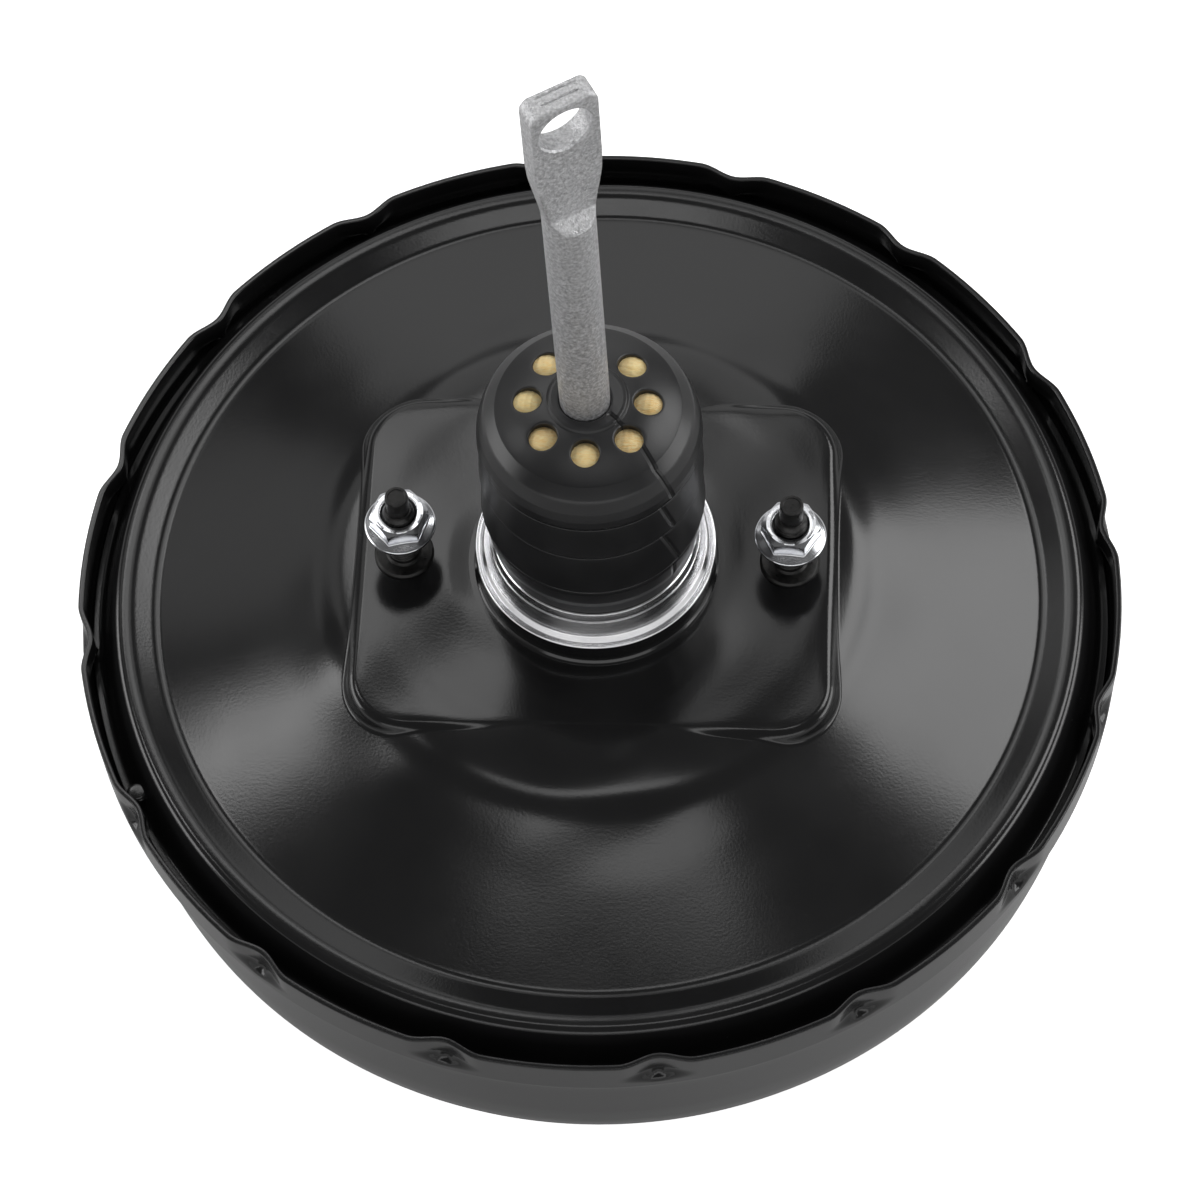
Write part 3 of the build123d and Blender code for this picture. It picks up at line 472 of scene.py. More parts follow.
blackPlastic = surfaceMaterial(
    "blackPlastic", light=(0.020, 0.020, 0.021), dark=(0.013, 0.013, 0.014), roughness=(0.34, 0.46),
    blotch=130, grain=2600, grainDepth=0.000015, dust=0.1, wear=0.3, wearColour=(0.06, 0.06, 0.06))
phenolic = surfaceMaterial(
    "phenolic", light=(0.030, 0.024, 0.019), dark=(0.015, 0.012, 0.010), roughness=(0.36, 0.5),
    blotch=240, grain=1800, grainDepth=0.00002, dust=0.1)
foam = surfaceMaterial(
    "greyFoam", light=(0.10, 0.10, 0.10), dark=(0.03, 0.03, 0.03), roughness=(0.85, 0.95),
    blotch=900, grain=3000, grainDepth=0.0003)


feltSet = {
    "turns": (0.3, 1.5, 2.5), "stretch": (350, 3200, 1600), "stainScale": 75, "fibreDepth": 0.0004,
    "base": (1.0, 0.74, 0.30), "stain": (0.88, 0.56, 0.20), "fibre": (1.0, 0.86, 0.50),
}


def feltMaterial():
    # Pale felt: fibres from three stretched noises, a few paler fibres and a slow stain.
    s = feltSet
    material, tree, shader, place = startMaterial("paleFelt")
    fibres = None
    for turn in s["turns"]:
        turned = addNode(tree, "Mapping", Vector=place, Rotation=(turn * 0.3, turn * 0.2, turn),
                         Scale=s["stretch"])
        noise = noiseNode(tree, turned.outputs["Vector"], 1.0, 3, 0.6)
        fibres = noise if fibres is None else mathNode(tree, "MAXIMUM", fibres, noise)
    stained = rangeNode(tree, noiseNode(tree, place, s["stainScale"], 2), 0.42, 0.66)
    warm = mixColour(tree, stained, s["base"], s["stain"])
    colour = mixColour(tree, rangeNode(tree, fibres, 0.45, 0.75), warm, s["fibre"])
    normal = bumpNode(tree, fibres, s["fibreDepth"])
    fill(tree, shader, {"Base Color": colour, "Roughness": 0.95, "Sheen Weight": 0.3, "Normal": normal})
    return material


felt = feltMaterial()
print("materials made")


def dress(piece, material):
    piece.data.materials.clear()
    piece.data.materials.append(material)


def finishPiece(piece, body, slotName, material, *nodes):
    dress(piece, material)
    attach(piece, body)
    if nodes:
        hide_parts(*nodes)


bowl = {
    "sheet": 1.5, "rimR": 134.0, "rimTop": -12.5, "dents": 16, "firstDent": 8.5,
    "dentDepth": 2.3, "dentHalf": 4.1, "dentFoot": (-18.6, -21.4),
    "tabDepth": 1.8, "tabHalf": 1.25, "tabZ": -20.3, "tabHeight": 1.3,
    "masterFace": -100.0, "pilotR": 19.0, "pilotFloor": -86.0, "rodHole": 8.0,
    "closeHalf": 5.2, "closeColumns": 25, "wideColumns": 8,        # degrees; columns there, between
    "spacing": {"outer": (0.64, 9), "inner": (0.66, 12)},          # on the rim, and below it
}


def rimAngles(settings):
    # Close columns over each dent and wide ones between.
    pitch = 360 / settings["dents"]
    half = settings["closeHalf"]
    inside = np.linspace(-half, half, settings["closeColumns"])
    outside = np.linspace(half, pitch - half, settings["wideColumns"])[1:-1]
    one = np.concatenate([inside, outside])
    middles = settings["firstDent"] + pitch * np.arange(settings["dents"])
    return np.radians((middles[:, None] + one).ravel())


def rimChange(settings):
    # The wall moves in by dentDepth times a smooth hill about each dent's middle, fading below
    # the lance, and the lanced tab goes in further over a narrow width just above the flange.
    def change(r, z, a):
        pitch = 360 / settings["dents"]
        off = (np.degrees(a) - settings["firstDent"] + pitch / 2) % pitch - pitch / 2
        upper = (r > settings["rimR"] - 9) & (z > -26)
        low, high = settings["dentFoot"][1], settings["dentFoot"][0]
        dent = settings["dentDepth"] * bump(off / settings["dentHalf"]) * ramp(z, low, high)
        tab = settings["tabDepth"] * bump(off / settings["tabHalf"])
        tab = tab * bump((z - settings["tabZ"]) / settings["tabHeight"])
        return r - np.where(upper, dent + tab, 0), z, a
    return change


def makeBowl():
    # The outer line runs down from the rim to the rod's hole and the inner line back up.
    s = bowl
    rim, face, floor, pilot, t = s["rimR"], s["masterFace"], s["pilotFloor"], s["pilotR"], s["sheet"]
    outer = roundedLine([
        (rim - 0.75, s["rimTop"]), (rim, s["rimTop"], 0.6), (rim, -24.4, 0.8), (rim - 1.3, -25.6, 0.8),
        (rim - 1.3, -28.0, 0.8), (rim - 3.6, -29.8, 1.5), (rim - 5.2, -74.5, 24), (62, face + 3.2, 8),
        (56, face, 6), (pilot, face, 1.2), (pilot, floor, 1.0), (s["rodHole"], floor),
    ])
    inner = roundedLine([
        (s["rodHole"], floor), (s["rodHole"], floor + t), (pilot + t, floor + t, 1.0),
        (pilot + t, face + t, 1.0), (56.3, face + t, 6), (62.5, face + 3.2 + t, 8),
        (rim - 5.2 - t, -74.0, 22.5), (rim - 3.6 - t, -29.2, 1.0), (rim - 1.3 - t, -27.2, 0.8),
        (rim - 1.3 - t, -25.0, 0.5), (rim - t, -23.6, 0.5), (rim - t, s["rimTop"], 0.6),
        (rim - 0.75, s["rimTop"]),
    ])
    fine, wide = s["spacing"]["outer"]
    upper = outer[:, 1] > -24.2
    outer = np.concatenate([dense(outer[upper], fine), dense(outer[~upper], wide)])
    fine, wide = s["spacing"]["inner"]
    upper = inner[:, 1] > -23.7
    inner = np.concatenate([dense(inner[~upper], wide), dense(inner[upper], fine)])
    line = np.concatenate([outer, inner[1:-1]])
    grid = lathe(line, rimAngles(s), change=rimChange(s))
    return meshObject("canister", [(grid, True, True)], turned=True)


canister = makeBowl()
finishPiece(canister, "housing", "front_shell", paint, "front_shell")
print("canister made")

cover = {
    "flangeR": 131.5, "flangeZ": -22.5, "domeR": 48.0, "domeSlope": 10.0, "bossR": 65.0,
    "coneR": 73.0, "coneSlope": 14.4, "waveHeight": 0.30,
    "creaseR": 113.9, "creaseZ": -14.5, "plateauX": 123.0, "plateauY": 97.0, "plateauShift": -1.3,
    "cornerR": 15.0, "edgeR": 3.2, "neckR": 30.0, "ringSeat": 7.6, "neckMouth": 26.6,
    "wallSlope": 2.35, "arcShare": 0.92, "joinWidth": (0.20, 1.5), "columns": 384,
    "seamR": 32.6, "shoulder": 3.2, "wallFoot": 3.6, "evenR": 84.0, "beadFoot": 110.0,
    "joinFade": (50, 60), "waveStart": (33, 38), "waveEnd": (70, 90),
    "under": ((131.5, -24.0), (128.4, -24.0), (123.0, -13.4), (120.7, -13.2), (113.9, -16.1), (69.0, -4.4),
              (66.5, -2.8), (60, -2.8), (28.5, -1.5), (28.5, 6.9)),
}


def plateauDistance(x, y, s):
    # Signed distance to the rounded rectangle: negative inside.
    qx = np.abs(x) - (s["plateauX"] / 2 - s["cornerR"])
    qy = np.abs(y - s["plateauShift"]) - (s["plateauY"] / 2 - s["cornerR"])
    outside = np.hypot(np.maximum(qx, 0), np.maximum(qy, 0))
    return outside + np.minimum(np.maximum(qx, qy), 0) - s["cornerR"]


def plateauReach(angles, s):
    # Radius of the plateau's outline in each direction, by halving.
    low = np.full(angles.shape, 40.0)
    high = np.full(angles.shape, 90.0)
    for _ in range(40):
        middle = (low + high) / 2
        inside = plateauDistance(middle * np.cos(angles), middle * np.sin(angles), s) < 0
        low, high = np.where(inside, middle, low), np.where(inside, high, middle)
    return (low + high) / 2


def domeLine(s):
    # Slope against radius: it grows evenly to domeSlope at bossR, then goes over to the cone's
    # slope at coneR with a hill on top, as high as it takes to land on the cone. The height
    # is minus the running sum of its tangent.
    r = np.linspace(s["domeR"], s["coneR"], 105)
    slope = np.interp(r, (s["domeR"], s["bossR"], s["coneR"]), (0, s["domeSlope"], s["coneSlope"]))
    rise = np.tan(np.radians(slope))
    hill = bump((r - (s["bossR"] + s["coneR"]) / 2) / ((s["coneR"] - s["bossR"]) / 2 + 1))
    landing = s["creaseZ"] + (s["creaseR"] - s["coneR"]) * np.tan(np.radians(s["coneSlope"]))
    step = r[1] - r[0]
    gap = -landing - rise[1:].sum() * step
    rise = rise + hill * gap / (hill[1:].sum() * step)
    return np.stack([r, np.concatenate([[0], -np.cumsum(rise[1:]) * step])], 1)


def coverHeight(x, y, s):
    # The turned profile: flat, then a dome that bends down to the boss's edge, and the cone.
    # The plateau lies over it: flat inside its outline, with a rounded edge, a steep wall and a
    # soft join that fades where both are level. A slow wave keeps the pressed face from being true.
    r = np.hypot(x, y)
    dome = domeLine(s)
    rest = roundedLine([
        tuple(dome[-1]), (s["creaseR"], s["creaseZ"], 4.5), (120.5, -11.9, 7.0), (124.2, -12.0, 3.0),
        (129.0, s["flangeZ"], 1.6), (s["flangeR"] + 1, s["flangeZ"]),
    ], 10)
    profile = np.concatenate([[(20, 0)], dome[:-1], rest])
    base = np.interp(r, profile[:, 0], profile[:, 1])
    d = plateauDistance(x, y, s) + s["edgeR"]
    edge = s["edgeR"]
    arcEnd = edge * s["arcShare"]
    inside = np.clip(d, 0, arcEnd)
    top = -(edge - np.sqrt(edge ** 2 - inside ** 2)) - np.maximum(d - arcEnd, 0) * s["wallSlope"]
    narrow, wider = s["joinWidth"]
    height = -smoothMin(-base, -top, narrow + wider * ramp(r, *s["joinFade"]))
    wave = np.sin(x / 13 + 0.8) * np.sin(y / 11 - 0.5 + x / 40) + 0.6 * np.sin(x / 7.5 - y / 9)
    return height + s["waveHeight"] * wave * ramp(r, *s["waveStart"]) * (1 - ramp(r, *s["waveEnd"]))


def makeCover():
    # Rings of points run from the neck to the plateau's outline, close together over its edge,
    # and from there to the flange.
    s = cover
    a = evenAngles(s["columns"])
    reach = plateauReach(a, s)
    start, shoulder, foot = s["seamR"], s["shoulder"], s["wallFoot"]
    rows = [start + (reach - shoulder - start) * t for t in np.linspace(0, 1, 14)[:-1]]
    rows += [reach + t for t in np.linspace(-shoulder, foot, 26)]
    edge = reach + foot
    rows += [edge + (s["evenR"] - edge) * t for t in np.linspace(0, 1, 26)[1:]]
    for low, high, count in ((s["evenR"], s["beadFoot"], 12), (s["beadFoot"], s["flangeR"], 64)):
        rows += [np.full_like(a, r) for r in np.linspace(low, high, count)[1:]]
    r = np.stack(rows, 1)
    x, y = r * np.cos(a)[:, None], r * np.sin(a)[:, None]
    top = np.stack([x, y, coverHeight(x, y, s)], -1)
    # The neck rises from the plateau's inner edge, and its bore runs back down to the underside.
    neckR, mouth, seat = s["neckR"], s["neckMouth"], s["ringSeat"]
    neck = lathe(roundedLine([
        (mouth, seat), (neckR, seat, 0.3), (neckR, 1.0, 0.5), (neckR + 0.6, 0.35, 0.3),
        (neckR + 1.1, 0.0, 0.3), (start, 0.0),
    ], 5), a)
    under = lathe(np.array([*s["under"], (mouth, s["under"][-1][1]), (mouth, seat)]), a)
    rim = np.stack([top[:, -1], under[:, 0]], 1)
    patches = [(grid, True, False) for grid in (neck, top, rim, under)]
    return meshObject("coverPressing", patches, turned=True)


coverPressing = makeCover()
finishPiece(coverPressing, "housing", "rear_shell", paint, "rear_shell")
print("cover made")

pin = {"r": 2.8, "at": (129.0, -152.3), "foot": -23.5, "top": -18.9}


def makePin():
    # A turned peg with a rounded top, standing on the flange in its own direction.
    s = pin
    a = np.radians(s["at"][1])
    line = roundedLine([(0, s["top"]), (s["r"], s["top"], 1.1), (s["r"], s["foot"]), (0, s["foot"])])
    line[0, 0] = line[-1, 0] = 0
    grid = lathe(line, 48, (s["at"][0] * np.cos(a), s["at"][0] * np.sin(a)))
    return meshObject("locatingPeg", [(grid, True, False)], turned=True)


finishPiece(makePin(), "housing", "locating_pin", paint, "locating_pin")

ring = {
    "foot": 7.65, "lowerR": 30.35, "lowerZ": (0.05, 0.85), "lowerDepth": 0.9, "spacing": 0.4,
    "columns": 320,
}


def makeRing():
    # From the outer lip over a groove and the sloping flange to the sleeve and its crest.
    s = ring
    line = roundedLine([
        (27.0, s["foot"]), (30.35, s["foot"], 0.2), (30.5, 8.0, 0.2), (30.2, 8.45, 0.2), (29.75, 8.4, 0.15),
        (29.55, 8.05, 0.1), (29.3, 8.1, 0.1), (29.05, 8.5, 0.2), (28.35, 9.55, 0.4), (28.05, 10.0, 0.2),
        (27.85, 9.75, 0.1), (27.7, 9.85, 0.08), (27.45, 10.5, 0.25), (27.2, 11.3, 0.8), (26.45, 13.9, 0.2),
        (26.2, 14.0, 0.08), (26.3, 14.3, 0.08), (25.95, 15.7, 0.4), (25.75, 16.4, 0.3), (25.35, 16.75, 0.25),
        (24.95, 16.5, 0.2), (24.9, 15.2, 0.3), (26.4, 9.0, 0.5), (27.0, s["foot"]),
    ], 5)
    line = dense(line, s["spacing"])
    r, depth, (low, high) = s["lowerR"], s["lowerDepth"], s["lowerZ"]
    lower = roundedLine([(r - depth, low), (r, low, 0.35), (r, high, 0.4), (r - depth, high)])
    parts = [(lathe(part, s["columns"]), True, True) for part in (line[:-1], lower)]
    return meshObject("clampRing", parts, turned=True)


finishPiece(makeRing(), "housing", "neck_ring", ringPlate, "neck_ring")

# The narrow black bearing between the ring's sleeve and the valve body's tail.
bushLine = np.array([(24.57, 8.6), (25.9, 8.6), (24.84, 15.1), (24.57, 15.1)])
bushPiece = meshObject("guideBush", [(lathe(bushLine, 128), True, True)], 40, turned=True)
finishPiece(bushPiece, "housing", "guide_bush", blackPlastic, "guide_bush")
print("neck ring made")

stud = {
    "x": 49.0, "r": 4.0, "pitch": 1.25, "threadDepth": 0.42, "threadFoot": 2.6, "threadTop": 21.6,
    "collarR": 7.6, "tip": 28.5, "noseR": 2.95, "columns": 72, "pitchRows": 9,
    "teeth": 36, "toothHeight": 0.35, "toothR": 6.7,
}
nut = {
    "flangeR": 9.0, "acrossFlats": 13.0, "height": 6.5, "mouthR": 4.75, "flangeSlope": 0.42, "boreR": 4.0,
    "lipHeight": 1.25, "lipInset": 0.3, "fillet": (0.25, 0.4), "cornerCut": 0.08,
    "coneTop": 0.95, "coneStart": 0.2, "coneSlope": 0.8,
    "places": ((-49.0, 14.5, 12.0), (49.0, 12.9, -3.5)),      # x, foot, turn
}


def studChange(r, z, a):
    # Thread: the radius falls by its depth in a rounded wave of height and angle, which fades at
    # both ends. A ring of small teeth stands on the collar's top.
    s = stud
    wave = (z / s["pitch"] - a / (2 * np.pi)) % 1.0
    cut = s["threadDepth"] * np.clip(1.6 * np.abs(2 * wave - 1) - 0.3, 0, 1)
    low, high = s["threadFoot"], s["threadTop"] + 0.4
    fade = ramp(z, low, low + 0.8) * (1 - ramp(z, high - 0.8, high))
    r = r - np.where(np.abs(r - s["r"]) < 0.15, cut * fade, 0)
    teeth = s["toothHeight"] * bump((r - s["toothR"]) / 0.75) * (0.5 + 0.5 * np.sin(s["teeth"] * a))
    return r, z + np.where((z > 1.0) & (z < 1.5), teeth, 0), a


def studGrid(x):
    # A turned line: the serrated collar, the thread in equal steps of its pitch, and the nose.
    s = stud
    collar, shank, nose, foot, top, tip = (
        s[key] for key in ("collarR", "r", "noseR", "threadFoot", "threadTop", "tip"))
    lower = roundedLine([
        (0, -7.4), (collar - 0.4, -7.4, 0.3), (collar, -6.9), (collar, 0.7, 0.4), (collar - 0.5, 1.2, 0.3),
        (4.6, 1.2, 0.3), (shank, 1.8, 0.3), (shank, foot),
    ], 4)
    threaded = dense(np.array([(shank, foot), (shank, top)]), s["pitch"] / s["pitchRows"])
    upper = roundedLine([
        (shank, top), (3.3, 22.5, 0.2), (nose, 22.6), (nose, tip, 0.3), (2.2, tip), (2.0, tip - 0.15),
        (0.0, tip - 0.1),
    ], 4)
    line = np.concatenate([lower, threaded[1:], upper[1:]])
    return lathe(line, s["columns"], (x, 0), studChange)


studGrids = [(studGrid(x), True, False) for x in (-stud["x"], stud["x"])]
firewallStuds = meshObject("firewallStuds", studGrids, 32)
finishPiece(firewallStuds, "housing", "firewall_studs", darkStud, "firewall_studs")


def nutGrid(x, base, turn):
    # Side surface: the hexagon's reach in each direction cut by the corner cone above, laid over
    # the sloping flange below. The surface then goes over the top, down the bore and back under.
    s = nut
    flats = s["acrossFlats"] / 2
    one = np.concatenate([[-30, -29.4, -28.6, -27.5], np.linspace(-26, 26, 23), [27.5, 28.6, 29.4]])
    inSector = np.radians(np.tile(one, 6))
    a = inSector + np.radians(turn + 30 + 60 * np.repeat(np.arange(6), len(one)))
    hexReach = np.minimum(flats / np.cos(inSector), flats / np.cos(np.pi / 6) - s["cornerCut"])
    top = base + s["height"]
    boreMouth = s["boreR"] + 0.3
    rows = []

    def row(r, z):
        rows.append(np.stack([x + r * np.cos(a), r * np.sin(a), np.broadcast_to(z, a.shape)], -1))

    def rings(*pairs):
        for reach, z in pairs:
            row(np.full_like(a, reach), z)

    rim, slope, (filletOut, filletUp) = s["flangeR"], s["flangeSlope"], s["fillet"]
    lip, lipZ = rim - s["lipInset"], base + s["lipHeight"]
    rings((boreMouth, base), (rim - 0.35, base), (rim - 0.1, base + 0.12), (rim, base + 0.45),
          (rim - 0.05, base + 0.95), (lip, lipZ))
    # The flange slopes up to the hexagon and meets it in a small fillet.
    for t in np.linspace(0, 1, 8)[1:]:
        reach = lip * (1 - t) + (hexReach + filletOut) * t
        row(reach, lipZ + (lip - reach) * slope)
    foot = lipZ + (lip - hexReach) * slope
    row(hexReach + 0.06, foot + 0.1)
    row(hexReach, foot + filletUp)
    # The corner cone starts lower at the corners, so its edge on each flat is a curve.
    coneFoot = top - s["coneStart"] - (hexReach - flats) * s["coneSlope"]
    for t in np.linspace(0, 1, 6)[1:]:
        row(hexReach, foot + filletUp + (coneFoot - foot - filletUp) * t)
    for t in np.linspace(0, 1, 6)[1:]:
        reach = hexReach + (flats * s["coneTop"] - hexReach) * t
        row(reach, coneFoot + (top - coneFoot) * t)
    rings((5.4, top), (s["mouthR"], top), (s["mouthR"] - 0.12, top - 0.05), (s["boreR"], top - 0.85),
          (s["boreR"], base + 0.6), (boreMouth, base))
    return np.stack(rows, 1)


nuts = meshObject("flangeNuts", [(nutGrid(*place), True, False) for place in nut["places"]], 34)
finishPiece(nuts, "housing", "flange_nuts", zincPlate, "flange_nuts")
print("studs and nuts made")

rod = {
    "ballZ": 36.0, "r": 6.0, "turn": 30.0, "lean": 1.0, "eyeZ": 188.2, "eyeR": 6.2, "halfWidth": 8.0,
    "thickness": 5.8, "flatFoot": 157.2, "rampFoot": 153.6, "barTop": 154.0, "wideTop": 177.0, "top": 197.0,
    "endRise": 3.2, "endDraw": (2.8, 0.45), "cornerRound": 0.55, "barRound": 0.35, "columns": 160,
    "grooves": ((0.35, 0.5, 0.4), (0.3, -1.75, 0.35)),      # depth, place, half width
    "grooveFade": (4.0, 5.2),
    "boreFlare": 0.45, "cutHalf": 9,
}

boot = {
    "folds": ((61.2, 27.2, 26.85, 2.2), (47.7, 27.4, 26.95, 1.9), (31.2, 27.7, 27.1, 2.0)),
    "holes": 8, "holeRing": 14.3, "holeR": 3.4, "capInner": 9.9, "capOuter": 19.4,
    "crown": (76.15, 9.0, 0.0318, 1.79), "grooveDepth": 1.3, "footR": 25.9, "lipR": 9.3, "lipBoreR": 6.05,
    "ribs": 64, "ribHeight": 0.12, "ribZ": (17.2, 21.4), "patchColumns": 16, "patchSide": 18,
    "holeEdge": ((0, -1.9), (0, -0.45), (0.08, -0.16), (0.3, -0.03)),
    "sideSpacing": 1.6, "lipSpacing": 0.5, "drawnR": 6.2,
}


def capHeight(r):
    # The cap falls from the lip as a power of the distance outwards.
    top, start, fall, power = boot["crown"]
    return top - fall * np.maximum(r - start, 0) ** power


def bootProfile():
    # From the cap's hole ring outwards, over the dome and down the folds to the clamped bead. Each
    # fold hangs over a groove, then the next stretch starts.
    s = boot
    folds = []
    for z, above, below, drop in s["folds"]:
        deep = below - s["grooveDepth"]
        folds += [
            (above - 0.15, z + 2.8, 1.2), (above, z + 0.7, 0.35), (above - 0.1, z, 0.15),
            (deep, z - 0.1, 0.1), (deep, z - 0.9, 0.15), (below - 0.1, z - 1.15, 0.3),
            (below, z - drop - 0.4, 0.6),
        ]
    cap = [(r, capHeight(r)) for r in np.linspace(s["capOuter"], 21.4, 5)]
    dome = [(22.3, capHeight(22.0) - 0.15, 0.8), (25.2, 70.2, 3.0), (26.45, 66.9, 4.0)]
    foot = s["footR"]
    bead = [(26.7, 24.2, 2.0), (foot + 0.2, 21.6, 0.4), (foot - 0.1, 18.0, 0.3), (foot - 0.5, 17.3, 0.3),
            (24.9, 17.0)]
    return roundedLine(cap + dome + folds + bead, 5)


def capPatch(index):
    # One eighth of the cap round its hole: rings go from the hole's edge out to the patch's
    # border, which is two radial sides and two arcs, sampled so that neighbours share points.
    s = boot
    middle = 2 * np.pi * index / s["holes"]
    half = np.pi / s["holes"]
    side, arc = s["patchSide"], s["patchColumns"]
    t = np.linspace(0, 1, side + 1)[:-1]
    u = np.linspace(-1, 1, arc + 1)[:-1]
    r0, r1 = s["capInner"], s["capOuter"]
    borderR = np.concatenate([r0 + (r1 - r0) * t, np.full(arc, r1), r1 + (r0 - r1) * t, np.full(arc, r0)])
    borderA = np.concatenate([np.full(side, -half), half * u, np.full(side, half), -half * u]) + middle
    bx, by = borderR * np.cos(borderA), borderR * np.sin(borderA)
    cx, cy = s["holeRing"] * np.cos(middle), s["holeRing"] * np.sin(middle)
    bearing = np.arctan2(by - cy, bx - cx)

    def ringAt(x, y, drop=0.0):
        return np.stack([x, y, capHeight(np.hypot(x, y)) + drop], -1)

    def circleAt(reach):
        return cx + reach * np.cos(bearing), cy + reach * np.sin(bearing)

    # Down the hole's wall, round its lip, then out over the cap.
    rows = [ringAt(*circleAt(s["holeR"] + wider), drop) for wider, drop in s["holeEdge"]]
    sx, sy = circleAt(s["holeR"] + 0.5)
    rows += [ringAt(sx + (bx - sx) * t, sy + (by - sy) * t) for t in np.linspace(0, 1, 7)]
    return np.stack(rows, 1)


def footRibs(r, z, a):
    # Fine ribs stand round the clamped foot.
    s = boot
    low, high = s["ribZ"]
    return r + s["ribHeight"] * np.sin(s["ribs"] * a) * (z < high) * (z > low), z, a


def makeBoot():
    # The side and the lip are turned lines on the same angles as the eight patches of the cap.
    s = boot
    per = s["patchColumns"]
    a = np.concatenate([np.linspace(-0.5, 0.5, per + 1)[:-1] + k for k in range(s["holes"])])
    a = a * 2 * np.pi / s["holes"]
    profile = bootProfile()
    side = lathe(np.concatenate([profile[:1], dense(profile[1:], s["sideSpacing"])]), a, change=footRibs)
    bore = s["lipBoreR"]
    lip = dense(roundedLine([
        (9.9, capHeight(9.9)), (9.65, 76.3, 0.2), (s["lipR"], 76.9, 0.4), (8.6, 77.0, 0.4), (6.6, 76.9, 0.4),
        (bore, 76.5, 0.2), (bore, 74.0)], 5), s["lipSpacing"])
    lipGrid = lathe(lip, a)
    # The lip's bore is drawn aside to where the leaning rod stands.
    aside = (lip[-1, 1] - rod["ballZ"]) * np.tan(np.radians(rod["lean"]))
    aside = aside * (1 - ramp(lip[:, 0], s["drawnR"], s["lipR"]))
    turned = np.radians(rod["turn"])
    lipGrid[..., 0] -= aside * np.cos(turned)
    lipGrid[..., 1] -= aside * np.sin(turned)
    patches = [(capPatch(k)[:, ::-1], True, False) for k in range(s["holes"])]
    piece = meshObject("bootSleeve", patches + [(lipGrid[:, ::-1], True, False), (side, True, False)])
    # The rest shape's points, kept as an attribute from which the slit is placed.
    points = np.empty(len(piece.data.vertices) * 3)
    piece.data.vertices.foreach_get("co", points)
    piece.data.attributes.new("restPlace", "FLOAT_VECTOR", "POINT").data.foreach_set("vector", points)
    return piece


bootSleeve = makeBoot()
finishPiece(bootSleeve, "housing", "boot", rubber, "boot")
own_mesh(bootSleeve)
print("boot made")

feltPad = {
    "r": 21.6, "inner": 9.9, "bottom": 66.6, "top": 73.8, "edge": 70.4, "rise": 1.3, "swellR": 4.4,
    "uneven": 0.35, "fuzz": 0.10, "columns": 192,
}


def makeFelt():
    # A pad whose top swells up into each breather hole.
    s = feltPad
    a = evenAngles(s["columns"])
    rows = np.concatenate([np.linspace(s["inner"], 17.8, 26), [18.4, 19.6, 20.8, s["r"]]])
    r, aa = np.broadcast_arrays(rows[None, :], a[:, None])
    x, y = r * np.cos(aa), r * np.sin(aa)
    z = np.interp(r, (s["inner"], 17.9, 19.0, s["r"]), (s["top"], s["top"] - 0.1, 71.0, s["edge"]))
    for k in range(boot["holes"]):
        c = 2 * np.pi * k / boot["holes"]
        away = np.hypot(x - boot["holeRing"] * np.cos(c), y - boot["holeRing"] * np.sin(c))
        z = z + (s["rise"] + s["uneven"] * np.sin(2.4 * k + 1)) * bump(away / s["swellR"])
    z = z + s["fuzz"] * np.sin(3.1 * x + 1.7 * y) * np.sin(2.3 * y - 1.1 * x)
    top = np.stack([x, y, z], -1)
    under = lathe(np.array([(s["r"], s["bottom"]), (s["inner"], s["bottom"])]), a)
    wall = np.stack([top[:, -1], under[:, 0]], 1)
    bore = np.stack([under[:, -1], top[:, 0]], 1)
    patches = [(grid, True, False) for grid in (top, wall, under, bore)]
    return meshObject("feltPad", patches, 50, turned=True)


finishPiece(makeFelt(), "power_piston", "air_filter", felt, "air_filter")


def rodAxes():
    # A point on the rod's leaning axis, the direction across its flat eye, and the axis.
    s = rod
    turn, lean = np.radians(s["turn"]), np.radians(s["lean"])
    across = np.array([np.cos(turn), np.sin(turn), 0])
    axis = np.array([0, 0, 1]) * np.cos(lean) - across * np.sin(lean)
    face = np.array([np.sin(turn), -np.cos(turn), 0])
    return np.array([0, 0, s["ballZ"]]) - axis * s["ballZ"], np.cross(axis, face) * -1, axis


